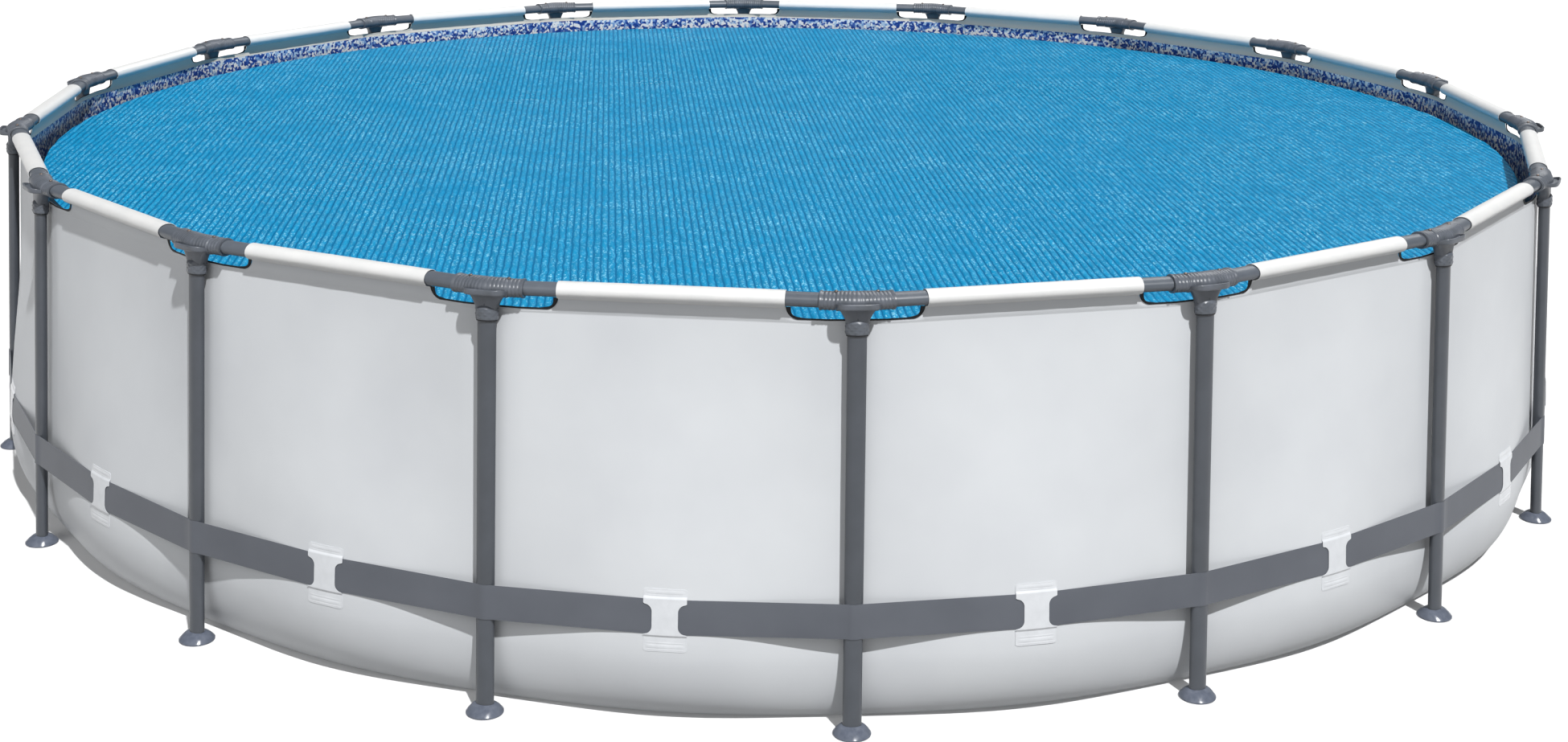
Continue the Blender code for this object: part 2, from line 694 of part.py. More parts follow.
def build_cover(parts):
    """A disc just small enough to lift out between the rail sleeves."""
    film = new_material("bubble_film", (0.01, 0.26, 0.55), 0.3)
    sleeve = RAIL_WIDTH / 2 + SLEEVE_GAP + SLEEVE_THICKNESS
    radius = RING_RADIUS * math.cos(HALF_BAY) - sleeve - COVER_RAIL_CLEARANCE
    bm = bmesh.new()
    low = Vector((0, 0, 0))
    high = Vector((0, 0, COVER_THICKNESS))
    oval_prism(bm, low, high, Vector((1, 0, 0)), 2 * radius, 2 * radius, sides=COVER_SIDES)
    cover = new_object("solar_cover", bm, parts, film)
    cover.location.z = RAIL_HEIGHT - COVER_BELOW_RAIL


def build_pool():
    empty_scene()
    parts = new_collection("frame_pool")
    tools = new_collection("cutters", hidden=True)
    liner_joins = new_collection("liner_joined_pieces", hidden=True)
    liner_cuts = new_collection("liner_cutters", hidden=True)
    connector_joins = new_collection("connector_joined_pieces", hidden=True)
    build_legs(parts, tools)
    build_rails(parts)
    build_connectors(parts, tools, connector_joins)
    build_liner(parts, liner_joins, liner_cuts)
    build_strap(parts)
    build_plugs(parts)
    build_drain_cap(parts)
    build_cover(parts)


build_pool()
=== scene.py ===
"""Looks of a round frame pool with a floating solar cover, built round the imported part.

The sections follow the order in which the pool is put up: legs, rails and connectors, then the liner with
its sleeves, loops and strap, the wall fittings, and last the cover. Metres, +Z up, origin on the ground in the
middle of the pool.
"""

import json
import math

import bmesh
import bpy
import numpy as np
from mathutils import Matrix, Vector, noise


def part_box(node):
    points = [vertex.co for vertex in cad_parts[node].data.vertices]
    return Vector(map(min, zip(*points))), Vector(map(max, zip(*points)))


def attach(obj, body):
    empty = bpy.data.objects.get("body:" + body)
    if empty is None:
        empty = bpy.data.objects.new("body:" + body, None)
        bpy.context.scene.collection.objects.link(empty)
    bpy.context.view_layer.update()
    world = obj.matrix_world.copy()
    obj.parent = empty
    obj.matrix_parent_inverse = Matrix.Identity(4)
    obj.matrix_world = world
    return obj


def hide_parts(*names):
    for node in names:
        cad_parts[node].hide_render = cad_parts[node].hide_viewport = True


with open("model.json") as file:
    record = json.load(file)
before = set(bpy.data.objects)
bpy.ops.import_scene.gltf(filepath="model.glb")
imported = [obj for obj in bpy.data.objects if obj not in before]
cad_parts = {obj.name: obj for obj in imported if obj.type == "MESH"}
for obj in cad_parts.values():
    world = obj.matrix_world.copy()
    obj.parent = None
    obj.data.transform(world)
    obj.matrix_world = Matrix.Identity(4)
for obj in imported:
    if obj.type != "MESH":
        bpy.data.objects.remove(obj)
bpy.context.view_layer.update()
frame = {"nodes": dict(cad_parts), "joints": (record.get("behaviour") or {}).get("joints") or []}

# ------
# Legs. Eighteen oval steel tubes, roll-formed and powder coated in a dark grey, splayed outwards at the foot.
# Each one slides up into its connector and stands in a foot cap.
# ------

BAYS = 18
BAY_ANGLE = math.tau / BAYS
HALF_BAY = BAY_ANGLE / 2
FIRST_LEG_ANGLE = -math.pi / 2

rail_low, rail_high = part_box("top_rail_05")  # the rail that runs along Y
APOTHEM = (rail_low.x + rail_high.x) / 2
RAIL_HEIGHT = (rail_low.z + rail_high.z) / 2
RAIL_WIDTH = rail_high.x - rail_low.x
RAIL_DEPTH = rail_high.z - rail_low.z
RAIL_HALF_LENGTH = rail_high.y
RING_RADIUS = APOTHEM / math.cos(HALF_BAY)

LEG_WIDTH = 0.051
LEG_DEPTH = 0.036
LEG_SPLAY = math.radians(5.2)
LEG_OFFSET = 0.0112
LEG_TOP = RAIL_HEIGHT - 0.038
LEG_FOOT = 0.006
TUBE_POINTS = 48
LEG_STATIONS = 12


def linear(hex_colour):
    """A colour written as sRGB hex, in the linear values that shaders take."""
    parts = [int(hex_colour[i : i + 2], 16) / 255 for i in (1, 3, 5)]
    return (*[c / 12.92 if c <= 0.04045 else ((c + 0.055) / 1.055) ** 2.4 for c in parts], 1)


def add_node(material, kind, inputs=None, stops=(), output=0, **settings):
    """Adds a node with its settings and gives one output. An input is a value, or an output to link from."""
    nodes, links = material.node_tree.nodes, material.node_tree.links
    node = nodes.get(kind) if kind == "Principled BSDF" else nodes.new("ShaderNode" + kind)
    for name, value in settings.items():
        setattr(node, name, value)
    for number, (place, colour) in enumerate(stops):
        element = node.color_ramp.elements
        stop = element[number] if number < len(element) else element.new(place)
        stop.position = place
        stop.color = colour
    for key, value in (inputs or {}).items():
        if isinstance(value, bpy.types.NodeSocket):
            links.new(value, node.inputs[key])
        else:
            node.inputs[key].default_value = value
    return node.outputs[output]


def new_material(name):
    material = bpy.data.materials.new(name)
    material.use_nodes = True
    return material


def spread(from_low, from_high, to_low, to_high):
    """The inputs that carry one range of values over to another."""
    return {"From Min": from_low, "From Max": from_high, "To Min": to_low, "To Max": to_high}


def mottled_finish(name, dark, light, patch, detail, shader, band=(0.3, 0.7), gloss=(), dents=(), grain=()):
    """A finish in two shades, in patches of a real size, which its gloss and its dents may follow.

    gloss is a range of the patches and its two roughnesses, dents a strength and a height, and grain the size,
    detail, strength and height of a finer unevenness.
    """
    material = new_material(name)
    coords = add_node(material, "TexCoord", output="Object")
    patches = add_node(material, "TexNoise", {"Vector": coords, "Scale": 1 / patch, "Detail": detail})
    stops = ((band[0], linear(dark)), (band[1], linear(light)))
    shader = {"Base Color": add_node(material, "ValToRGB", {"Fac": patches}, stops), **shader}
    if gloss:
        shader["Roughness"] = add_node(material, "MapRange", {"Value": patches, **spread(*gloss)})
    if dents:
        bump = {"Height": patches, "Strength": dents[0], "Distance": dents[1]}
        shader["Normal"] = add_node(material, "Bump", bump)
    if grain:
        size, grain_detail, strength, height = grain
        specks = add_node(material, "TexNoise", {"Vector": coords, "Scale": 1 / size, "Detail": grain_detail})
        bump = {"Height": specks, "Strength": strength, "Distance": height}
        if dents:
            bump["Normal"] = shader["Normal"]
        shader["Normal"] = add_node(material, "Bump", bump)
    add_node(material, "Principled BSDF", shader)
    return material


def oval_ring(centre, across, up, width, depth, count=TUBE_POINTS):
    """Points round an oval section, its width along across and its depth along up."""
    turns = np.arange(count) * math.tau / count
    return (
        np.array(centre)
        + np.outer(np.cos(turns) * width / 2, across)
        + np.outer(np.sin(turns) * depth / 2, up)
    )


def quads_between(rows, columns, first, wrap):
    """The quads of a grid of points numbered from first, row by row."""
    index = first + np.arange(rows * columns).reshape(rows, columns)
    if wrap:
        index = np.hstack([index, index[:, :1]])
    corners = (index[:-1, :-1], index[1:, :-1], index[1:, 1:], index[:-1, 1:])
    return np.stack(corners, axis=-1).reshape(-1, 4).tolist()


def finish_mesh(name, points, faces, inside=(), smooth_to=40):
    """A mesh with its normals facing out. Faces numbered in inside take the second material."""
    mesh = bpy.data.meshes.new(name)
    mesh.from_pydata(points, [], faces)
    for number in inside:
        mesh.polygons[number].material_index = 1
    bm = bmesh.new()
    bm.from_mesh(mesh)
    bmesh.ops.recalc_face_normals(bm, faces=bm.faces)
    bm.to_mesh(mesh)
    bm.free()
    mesh.shade_smooth()
    mesh.set_sharp_from_angle(angle=math.radians(smooth_to))
    return mesh


def lofted(rings):
    """Points and faces of a solid through rings of as many points, with a flat end at each end."""
    count = len(rings[0])
    points = np.concatenate(rings).tolist()
    faces = quads_between(len(rings), count, 0, True)
    faces.append(list(range(count)))
    faces.append(list(range(len(points) - count, len(points))))
    return points, faces


def joined(*shapes):
    """Several shapes' points and faces as one list of each."""
    points, faces = [], []
    for some_points, some_faces in shapes:
        start = len(points)
        points.extend(some_points)
        faces.extend([number + start for number in face] for face in some_faces)
    return points, faces


def place_piece(name, mesh, materials, slot, body="pool", turn=0, stands_for=()):
    """A piece of the object on a body, and the CAD nodes that it stands for. Its finish's slot is not used."""
    piece = bpy.data.objects.new(name, mesh)
    bpy.context.scene.collection.objects.link(piece)
    if not mesh.materials:
        for material in materials:
            mesh.materials.append(material)
    piece.rotation_euler.z = turn
    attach(piece, body)
    if stands_for:
        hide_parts(*stands_for)
    return piece


def leg_angle(index):
    return FIRST_LEG_ANGLE + index * BAY_ANGLE


def panel_angle(index):
    return leg_angle(index) + HALF_BAY


def place_round(name, mesh, materials, slot, angle_of, node=None):
    """One piece for each bay, sharing a mesh made along +X, each standing for its own CAD node."""
    for index in range(BAYS):
        number = f"{index + 1:02d}"
        stands_for = (f"{node}_{number}",) if node else ()
        turn = angle_of(index)
        place_piece(f"{name}_{number}", mesh, materials, slot, turn=turn, stands_for=stands_for)


def leg_radius(height):
    """Distance of a leg's axis from the middle of the pool."""
    return RING_RADIUS + LEG_OFFSET + (RAIL_HEIGHT - height) * math.tan(LEG_SPLAY)


RADIAL = np.array((1.0, 0.0, 0.0))
TANGENT = np.array((0.0, 1.0, 0.0))
UPWARD = np.array((0.0, 0.0, 1.0))
leg_lean = np.array((math.cos(LEG_SPLAY), 0.0, math.sin(LEG_SPLAY)))
leg_rings = []
for height in np.linspace(LEG_FOOT, LEG_TOP, LEG_STATIONS):
    centre = (leg_radius(height), 0, height)
    leg_rings.append(oval_ring(centre, TANGENT, leg_lean, LEG_WIDTH, LEG_DEPTH))

# Powder coat on steel: an even satin skin with a fine orange peel, which softens the streak of light along the
# tube, and a faint mottle where dust and water have dried on it.
COAT_MOTTLE = 0.1111
PEEL_SIZE = 0.0025  # real peel is about 1 mm; drawn coarser so that it shows


def powder_coat(name, dark, light):
    gloss, peel = (0.3, 0.7, 0.34, 0.46), (PEEL_SIZE, 2, 0.25, 0.0003)
    return mottled_finish(name, dark, light, COAT_MOTTLE, 6, {}, gloss=gloss, grain=peel)


leg_coat = powder_coat("powder_coated_leg_steel", "#42464C", "#4D5158")
leg_mesh = finish_mesh("leg_tube", *lofted(leg_rings))
place_round("leg_tube", leg_mesh, [leg_coat], "leg_steel", leg_angle, "leg")

# ------
# Foot caps. A moulded polypropylene cap closes each leg and spreads its load: a low dome from the tube's oval
# down to a round rim that stands on the ground.
# ------

CAP_RADIUS = 0.0515
CAP_HEIGHT = 0.0265
CAP_WALL = 0.0035
CAP_RIM = 0.0045
CAP_EDGE_ROUND = 0.0012
CAP_GRIP = 0.0009
CAP_TOP_ROUND = 0.0007
CAP_DOME = 1.5
CAP_STEPS = 10


def cap_ring(share, height, shrink=0.0):
    """A ring from the tube's oval, at share 0, to the round rim, at share 1."""
    width = LEG_WIDTH + 2 * CAP_WALL + (2 * CAP_RADIUS - LEG_WIDTH - 2 * CAP_WALL) * share
    depth = LEG_DEPTH + 2 * CAP_WALL + (2 * CAP_RADIUS - LEG_DEPTH - 2 * CAP_WALL) * share
    centre = (leg_radius(height), 0, height)
    return oval_ring(centre, TANGENT, RADIAL, width - 2 * shrink, depth - 2 * shrink)


cap_rings = [cap_ring(0, CAP_HEIGHT, CAP_WALL - 0.0003), cap_ring(0, CAP_HEIGHT, CAP_GRIP)]
for step in range(CAP_STEPS + 1):
    bend = math.pi / 2 * step / CAP_STEPS
    share = math.sin(bend)
    height = CAP_RIM + (CAP_HEIGHT - CAP_TOP_ROUND - CAP_RIM) * (1 - share**CAP_DOME)
    cap_rings.append(cap_ring(share, height))
cap_rings.append(cap_ring(1, CAP_EDGE_ROUND))
cap_rings.append(cap_ring(1, 0, CAP_EDGE_ROUND))

# Polypropylene from a polished mould: a slightly blue grey with a tight, bright streak on the dome.
SCUFF_SIZE = 0.01667
cap_gloss = (0.35, 0.7, 0.14, 0.26)
polished_pp = mottled_finish(
    "moulded_polypropylene_gloss", "#565C69", "#646A77", SCUFF_SIZE, 5, {"IOR": 1.49}, gloss=cap_gloss
)

cap_mesh = finish_mesh("foot_cap", *lofted(cap_rings))
place_round("foot_cap", cap_mesh, [polished_pp], "connector_plastic", leg_angle)

# ------
# Top rails. Straight oval steel tubes, wider than they are tall, powder coated a lighter grey than the legs.
# Each runs from one connector to the next, inside the liner's sleeve.
# ------

RAIL_STATIONS = 9
rail_rings = []
for distance in np.linspace(-RAIL_HALF_LENGTH, RAIL_HALF_LENGTH, RAIL_STATIONS):
    centre = (APOTHEM, distance, RAIL_HEIGHT)
    rail_rings.append(oval_ring(centre, RADIAL, UPWARD, RAIL_WIDTH, RAIL_DEPTH))
rail_coat = powder_coat("powder_coated_rail_steel", "#545A62", "#616770")
rail_mesh = finish_mesh("rail_tube", *lofted(rail_rings))
place_round("rail_tube", rail_mesh, [rail_coat], "rail_steel", panel_angle, "top_rail")

# ------
# T connectors. Injection-moulded sleeves over two rail ends, ribbed across, with a funnel-shaped web down to a
# knobbed leg socket and a hooked ledge outside. One moulding, pinned to the rails from above.
# ------

ARM_LENGTH = 0.096
ARM_WIDTH = RAIL_WIDTH + 0.014
ARM_DEPTH = RAIL_DEPTH + 0.0105
ARM_LIP_LENGTH = 0.006
ARM_LIP_RISE = 0.0009
SOCKET_STOP = 0.0195
RAIL_GAP = 0.0004
BEND_EASE = 0.010
RIB_PITCH = 0.0100
RIB_HEIGHT = 0.0012
RIB_STEPS = 6
BARREL_RISE = 0.0012
BARREL_HALF = 0.052
BARREL_STEP = 0.0012
RIB_ROUNDNESS = 0.6
ARM_EDGE_ROUND = 0.0003
ARM_EDGE_LENGTH = 0.0008


def arm_frame(distance):
    """Centre and widthwise direction of the sleeve, at a distance along it from the connector's middle."""
    inset = math.sin(HALF_BAY) * (math.hypot(distance, BEND_EASE) - BEND_EASE)
    slope = math.sin(HALF_BAY) * distance / math.hypot(distance, BEND_EASE)
    centre = (RING_RADIUS - inset, math.cos(HALF_BAY) * distance, RAIL_HEIGHT)
    across = Vector((math.cos(HALF_BAY), slope, 0)).normalized()
    return centre, np.array(across)


def arm_relief(distance):
    """How far the sleeve's skin stands out at a distance from the middle: barrel, ribs and end lip."""
    far = abs(distance)
    if far > ARM_LENGTH - ARM_LIP_LENGTH:
        return ARM_LIP_RISE
    barrel = BARREL_RISE * (1 - (far / BARREL_HALF) ** 2) + BARREL_STEP if far < BARREL_HALF else 0
    return barrel + RIB_HEIGHT * (abs(math.cos(math.pi * far / RIB_PITCH)) ** RIB_ROUNDNESS - 1)


def arm_ring(distance, width, depth):
    centre, across = arm_frame(distance)
    return oval_ring(centre, across, UPWARD, width, depth)


arm_stations = list(np.arange(0, ARM_LENGTH - ARM_LIP_LENGTH, RIB_PITCH / RIB_STEPS))
arm_stations += [ARM_LENGTH - ARM_LIP_LENGTH + ARM_EDGE_ROUND, ARM_LENGTH - ARM_EDGE_LENGTH]
arm_stations = [-distance for distance in reversed(arm_stations[1:])] + arm_stations
socket_size = (RAIL_WIDTH + 2 * RAIL_GAP, RAIL_DEPTH + 2 * RAIL_GAP)
end_size = (ARM_WIDTH - 2 * ARM_EDGE_ROUND, ARM_DEPTH - 2 * ARM_EDGE_ROUND)
arm_rings = [arm_ring(-SOCKET_STOP, *socket_size), arm_ring(-ARM_LENGTH, *socket_size)]
arm_rings.append(arm_ring(-ARM_LENGTH, *end_size))
for distance in arm_stations:
    rise = 2 * arm_relief(distance)
    arm_rings.append(arm_ring(distance, ARM_WIDTH + rise, ARM_DEPTH + rise))
arm_rings.append(arm_ring(ARM_LENGTH, *end_size))
arm_rings += [arm_ring(ARM_LENGTH, *socket_size), arm_ring(SOCKET_STOP, *socket_size)]

WEB_TOP_WIDTH = 0.108
WEB_BOTTOM_WIDTH = 0.058
WEB_DEPTH = 0.040
WEB_TOP_DROP = 0.010
WEB_BOTTOM_DROP = 0.056
WEB_FLARE = 1.7
WEB_SQUARENESS = 3.5
WEB_SET_BACK = 0.002
WEB_STEPS = 12


def block_ring(centre, width, depth, squareness, count=TUBE_POINTS):
    """A ring between an oval and a rounded rectangle, lying level."""
    turns = np.arange(count) * math.tau / count
    shape = 2 / squareness
    along = np.sign(np.cos(turns)) * np.abs(np.cos(turns)) ** shape
    out = np.sign(np.sin(turns)) * np.abs(np.sin(turns)) ** shape
    return np.array(centre) + np.outer(along * width / 2, TANGENT) + np.outer(out * depth / 2, RADIAL)


web_rings = []
for step in range(WEB_STEPS + 1):
    share = step / WEB_STEPS
    height = RAIL_HEIGHT - WEB_TOP_DROP - (WEB_BOTTOM_DROP - WEB_TOP_DROP) * share
    width = WEB_BOTTOM_WIDTH + (WEB_TOP_WIDTH - WEB_BOTTOM_WIDTH) * (1 - share) ** WEB_FLARE
    centre = (leg_radius(height) - WEB_SET_BACK, 0, height)
    web_rings.append(block_ring(centre, width, WEB_DEPTH, WEB_SQUARENESS))

COLLAR_WIDTH = LEG_WIDTH + 0.010
COLLAR_DEPTH = LEG_DEPTH + 0.012
COLLAR_TOP_DROP = 0.043
COLLAR_BOTTOM_DROP = 0.081
COLLAR_DOME = 0.012
KNOB_ROWS = 4
KNOBS_ROUND = 9
KNOB_HEIGHT = 0.0013
COLLAR_STEPS = 32
COLLAR_DOME_START = 0.62
COLLAR_EDGE_ROUND = 0.0012
COLLAR_POINTS = 2 * TUBE_POINTS
KNOBS_FROM_TOP = 0.006
KNOBS_FROM_BOTTOM = 0.003
collar_height = COLLAR_BOTTOM_DROP - COLLAR_TOP_DROP
knobbed_height = collar_height - KNOBS_FROM_TOP - KNOBS_FROM_BOTTOM
collar_turns = np.arange(COLLAR_POINTS) * math.tau / COLLAR_POINTS
collar_rings = []
for step in range(COLLAR_STEPS + 1):
    drop = COLLAR_TOP_DROP + collar_height * step / COLLAR_STEPS
    height = RAIL_HEIGHT - drop
    centre = (leg_radius(height), 0, height)
    domed = min(1, (drop - COLLAR_TOP_DROP) / COLLAR_DOME)
    size = COLLAR_DOME_START + (1 - COLLAR_DOME_START) * math.sqrt(1 - (1 - domed) ** 2)
    rounded = 2 * max(0, COLLAR_EDGE_ROUND - (COLLAR_BOTTOM_DROP - drop))
    width, depth = COLLAR_WIDTH * size - rounded, COLLAR_DEPTH * size - rounded
    ring = oval_ring(centre, TANGENT, leg_lean, width, depth, COLLAR_POINTS)
    row = (drop - COLLAR_TOP_DROP - KNOBS_FROM_TOP) / knobbed_height * KNOB_ROWS
    if 0 < row < KNOB_ROWS:
        phase = math.pi * (int(row) % 2)
        round_it = np.clip(np.cos(collar_turns * KNOBS_ROUND + phase), 0, 1) ** 0.7
        knob = KNOB_HEIGHT * round_it * math.sin(math.pi * (row % 1)) ** 0.8
        away = ring - np.array(centre)
        ring = ring + away / np.linalg.norm(away, axis=1)[:, None] * knob[:, None]
    collar_rings.append(ring)

LEDGE_ROOT = ARM_WIDTH / 4
LEDGE_REACH = ARM_WIDTH / 2 + 0.0235
LEDGE_WIDTH = 0.118
LEDGE_TOP_DROP = 0.003
LEDGE_THICKNESS = 0.007
LIP_RISE = 0.010
LIP_THICKNESS = 0.006
LEDGE_STATIONS = 40
LEDGE_BEND = 0.005


def ledge_section(share):
    """The hooked outline across the ledge, at -1 to 1 along it: floor, upturned lip, and back inwards."""
    reach = LEDGE_ROOT + (LEDGE_REACH - LEDGE_ROOT) * (1 - abs(share) ** 5) ** (1 / 2.2)
    lip = min(LIP_THICKNESS, (reach - LEDGE_ROOT) * 0.4)
    top = -LEDGE_TOP_DROP
    rise = LIP_RISE * min(1, (reach - LEDGE_ROOT) / (LEDGE_REACH - LEDGE_ROOT) * 1.15)
    outline = [(LEDGE_ROOT, top - LEDGE_THICKNESS)]
    for step in range(5):
        turn = math.pi / 2 * step / 4
        bend = min(LEDGE_BEND, (reach - LEDGE_ROOT) * 0.4)
        low = top - LEDGE_THICKNESS + bend * (1 - math.cos(turn))
        outline.append((reach - bend + bend * math.sin(turn), low))
    for step in range(7):
        turn = math.pi * step / 6
        out = reach - lip / 2 + lip / 2 * math.cos(turn)
        outline.append((out, top + rise - lip / 2 + lip / 2 * math.sin(turn)))
    outline.append((reach - lip - 0.0005, top + 0.002))
    outline.append((reach - lip - 0.002, top))
    outline.append((LEDGE_ROOT, top))
    along = share * LEDGE_WIDTH / 2
    return np.array([(RING_RADIUS + out, along, RAIL_HEIGHT + up) for out, up in outline])


ledge_turns = np.linspace(-math.pi / 2, math.pi / 2, LEDGE_STATIONS + 1)
ledge_rings = [ledge_section(math.sin(turn)) for turn in ledge_turns]

# Polypropylene from a spark-eroded mould: dull between the ribs and a little polished on their crests by hands
# and weather, so the light breaks into a row of short glints along the sleeve.
BLOTCH_SIZE = 0.040
SPARK_GRAIN = 0.001429
moulded_pp = mottled_finish(
    "moulded_polypropylene_satin",
    "#51565D",
    "#636871",
    BLOTCH_SIZE,
    4,
    {"IOR": 1.49},
    band=(0.3, 0.72),
    gloss=(0.3, 0.7, 0.28, 0.42),
    grain=(SPARK_GRAIN, 3, 0.3, 0.0002),
)

connector_shapes = (lofted(arm_rings), lofted(web_rings), lofted(collar_rings), lofted(ledge_rings))
connector_mesh = finish_mesh("t_connector_moulding", *joined(*connector_shapes), smooth_to=50)
place_round(
    "t_connector_moulding", connector_mesh, [moulded_pp], "connector_plastic", leg_angle, "t_connector"
)

# ------
# Ring seals. A soft black ring closes the joint where each leg enters its connector.
# ------

SEAL_HEIGHT = 0.0045
SEAL_PROUD = 0.0032
seal_top = RAIL_HEIGHT - COLLAR_BOTTOM_DROP + 0.0004
seal_rings = []
for drop, proud in ((0, 0.0), (0, 0.8), (0.25, 1.0), (0.75, 1.0), (1, 0.8), (1, 0.0)):
    height = seal_top - SEAL_HEIGHT * drop
    size = 2 * (SEAL_PROUD * proud + 0.0001)
    ring_centre = (leg_radius(height), 0, height)
    seal_rings.append(oval_ring(ring_centre, TANGENT, leg_lean, LEG_WIDTH + size, LEG_DEPTH + size))

# Moulded rubber: nearly black and matt, with a dusty bloom.
BLOOM_SIZE = 0.008333
black_rubber = mottled_finish(
    "moulded_rubber",
    "#191A1D",
    "#2A2C30",
    BLOOM_SIZE,
    4,
    {"Roughness": 0.62, "IOR": 1.52},
    band=(0.35, 0.7),
    dents=(0.2, 0.0004),
)

seal_mesh = finish_mesh("ring_seal", *lofted(seal_rings))
place_round("ring_seal", seal_mesh, [black_rubber], "connector_plastic", leg_angle)

# ------
# Rivet pins. Two push pins hold each connector to its rails, dropped in from above: a domed, brown-passivated
# steel head over a short plastic shoulder.
# ------

PIN_FROM_CENTRE = 0.054
PIN_RADIUS = 0.0052
PIN_SHOULDER_RADIUS = 0.0040
PIN_SHOULDER_HEIGHT = 0.0018
PIN_DOME = 0.0026
PIN_SUNK = 0.0015
PIN_POINTS = 24
pin_base = RAIL_HEIGHT + ARM_DEPTH / 2 - PIN_SUNK


def turned_rings(profile, count):
    """Rings round Z through a profile of (radius, height) points."""
    return [
        oval_ring((0, 0, height), RADIAL, TANGENT, 2 * radius, 2 * radius, count) for radius, height in profile
    ]


pin_profile = [(PIN_SHOULDER_RADIUS, 0), (PIN_SHOULDER_RADIUS, PIN_SHOULDER_HEIGHT + PIN_SUNK)]
for step in range(7):
    bend = math.pi / 2 * step / 7
    pin_profile.append((PIN_RADIUS * math.cos(bend), pin_profile[1][1] + PIN_DOME * math.sin(bend)))
pin_shapes = []
for side in (-1, 1):
    centre, across = arm_frame(side * PIN_FROM_CENTRE)
    shift = np.array((centre[0], centre[1], pin_base))
    pin_shapes.append(lofted([ring + shift for ring in turned_rings(pin_profile, PIN_POINTS)]))

# Passivated steel: a warm brown metal with a soft shine, duller in its scratches.
SCRATCH_SIZE = 0.002
pin_steel = mottled_finish(
    "passivated_steel", "#6E625C", "#9A8A80", SCRATCH_SIZE, 4, {"Metallic": 0.85}, gloss=(0.3, 0.7, 0.3, 0.5)
)

pin_mesh = finish_mesh("rivet_pins", *joined(*pin_shapes))
place_round("rivet_pins", pin_mesh, [pin_steel], "connector_plastic", leg_angle)

# ------
# Liner wall. Laminated PVC, a woven scrim between two skins: grey-white outside, and inside a printed mosaic
# border over pale blue. It hangs from the rails, bulges between the legs and is cut out under each connector.
# ------

SHEET = 0.0012
LEG_GAP = 0.010
EDGE_HEIGHT = RAIL_HEIGHT - 0.050
BULGE = 0.0335
BULGE_DROP = 0.860
BELLY = 0.210
FLOOR_INSET = 0.0697
SLEEVE_HALF = RING_RADIUS * math.sin(HALF_BAY) - ARM_LENGTH - 0.086
SLEEVE_END_ANGLE = math.atan2(SLEEVE_HALF, APOTHEM)
SLOT_CORNER = 0.030
WALL_TOP = RAIL_HEIGHT - RAIL_DEPTH / 2 - 0.0022
HEM_RISE = 0.0008
HEM_LOW = EDGE_HEIGHT - 0.012
BELLY_STEPS = 10


def wall_at_leg(height):
    return leg_radius(height) - LEG_DEPTH / 2 - LEG_GAP


def wall_radius(height, turn):
    """Outer radius of the wall above its rounded foot. The turn is from the middle of a panel."""
    top_edge = wall_at_leg(EDGE_HEIGHT)
    hung = min(APOTHEM / math.cos(turn), top_edge) - top_edge
    bulged = BULGE * math.cos(turn / HALF_BAY * math.pi / 2) ** 2
    drop = min(max((EDGE_HEIGHT - height) / BULGE_DROP, 0), 1)
    share = (1 - math.cos(math.pi * drop)) / 2
    return wall_at_leg(min(height, EDGE_HEIGHT)) + hung + (bulged - hung) * share


def wall_top(turn):
    """Height of the wall's edge: under the rail's sleeve, and lower with a rounded corner in each cut-out."""
    past = APOTHEM * math.tan(abs(turn)) - SLEEVE_HALF
    if past <= 0:
        return WALL_TOP
    if past >= SLOT_CORNER:
        return EDGE_HEIGHT
    return EDGE_HEIGHT + (WALL_TOP - EDGE_HEIGHT) * (1 - math.sqrt(1 - (1 - past / SLOT_CORNER) ** 2))


corner_angle = SLOT_CORNER / RING_RADIUS
half_turns = list(np.linspace(0, SLEEVE_END_ANGLE, 12)[:-1])
half_turns += [SLEEVE_END_ANGLE + corner_angle * (1 - math.cos(math.pi / 2 * step / 9)) for step in range(9)]
half_turns += list(np.linspace(SLEEVE_END_ANGLE + corner_angle, HALF_BAY, 9))
panel_turns = [-turn for turn in reversed(half_turns[1:-1])] + half_turns
wall_heights = [1.094, 1.082, 1.064, 1.045, 1.02, 0.99] + list(np.arange(0.95, BELLY + 0.02, -0.035)) + [BELLY]


def crease(angle, height):
    """Small unevenness of the stretched sheet, in metres: long upright waves and shallow dents."""
    spot = Vector((math.cos(angle) * 9, math.sin(angle) * 9, height * 1.3))
    dents = Vector((math.cos(angle) * 26, math.sin(angle) * 26, height * 7))
    return 0.0016 * noise.noise(spot) + 0.0007 * noise.noise(dents)


def wall_column(panel, turn):
    """The wall's outer points down one upright line, from its top edge to the edge of the floor."""
    angle = panel_angle(panel) + turn
    top = wall_top(turn)
    heights = [top, top - 0.003, (top + HEM_LOW) / 2, HEM_LOW + 0.0006, HEM_LOW - 0.0006] + wall_heights
    column = []
    for height in heights:
        hem = HEM_RISE if height > HEM_LOW else 0
        fade = min(1, (EDGE_HEIGHT - height) / 0.15) if height < EDGE_HEIGHT else 0
        column.append((wall_radius(height, turn) + hem + crease(angle, height) * fade, height))
    widest = column[-1][0]
    floor_edge = wall_at_leg(BELLY) - FLOOR_INSET
    for step in range(1, BELLY_STEPS + 1):
        bend = math.pi / 2 * step / BELLY_STEPS
        column.append((widest - (widest - floor_edge) * (1 - math.cos(bend)), BELLY * (1 - math.sin(bend))))
    return [(radius * math.cos(angle), radius * math.sin(angle), height) for radius, height in column]


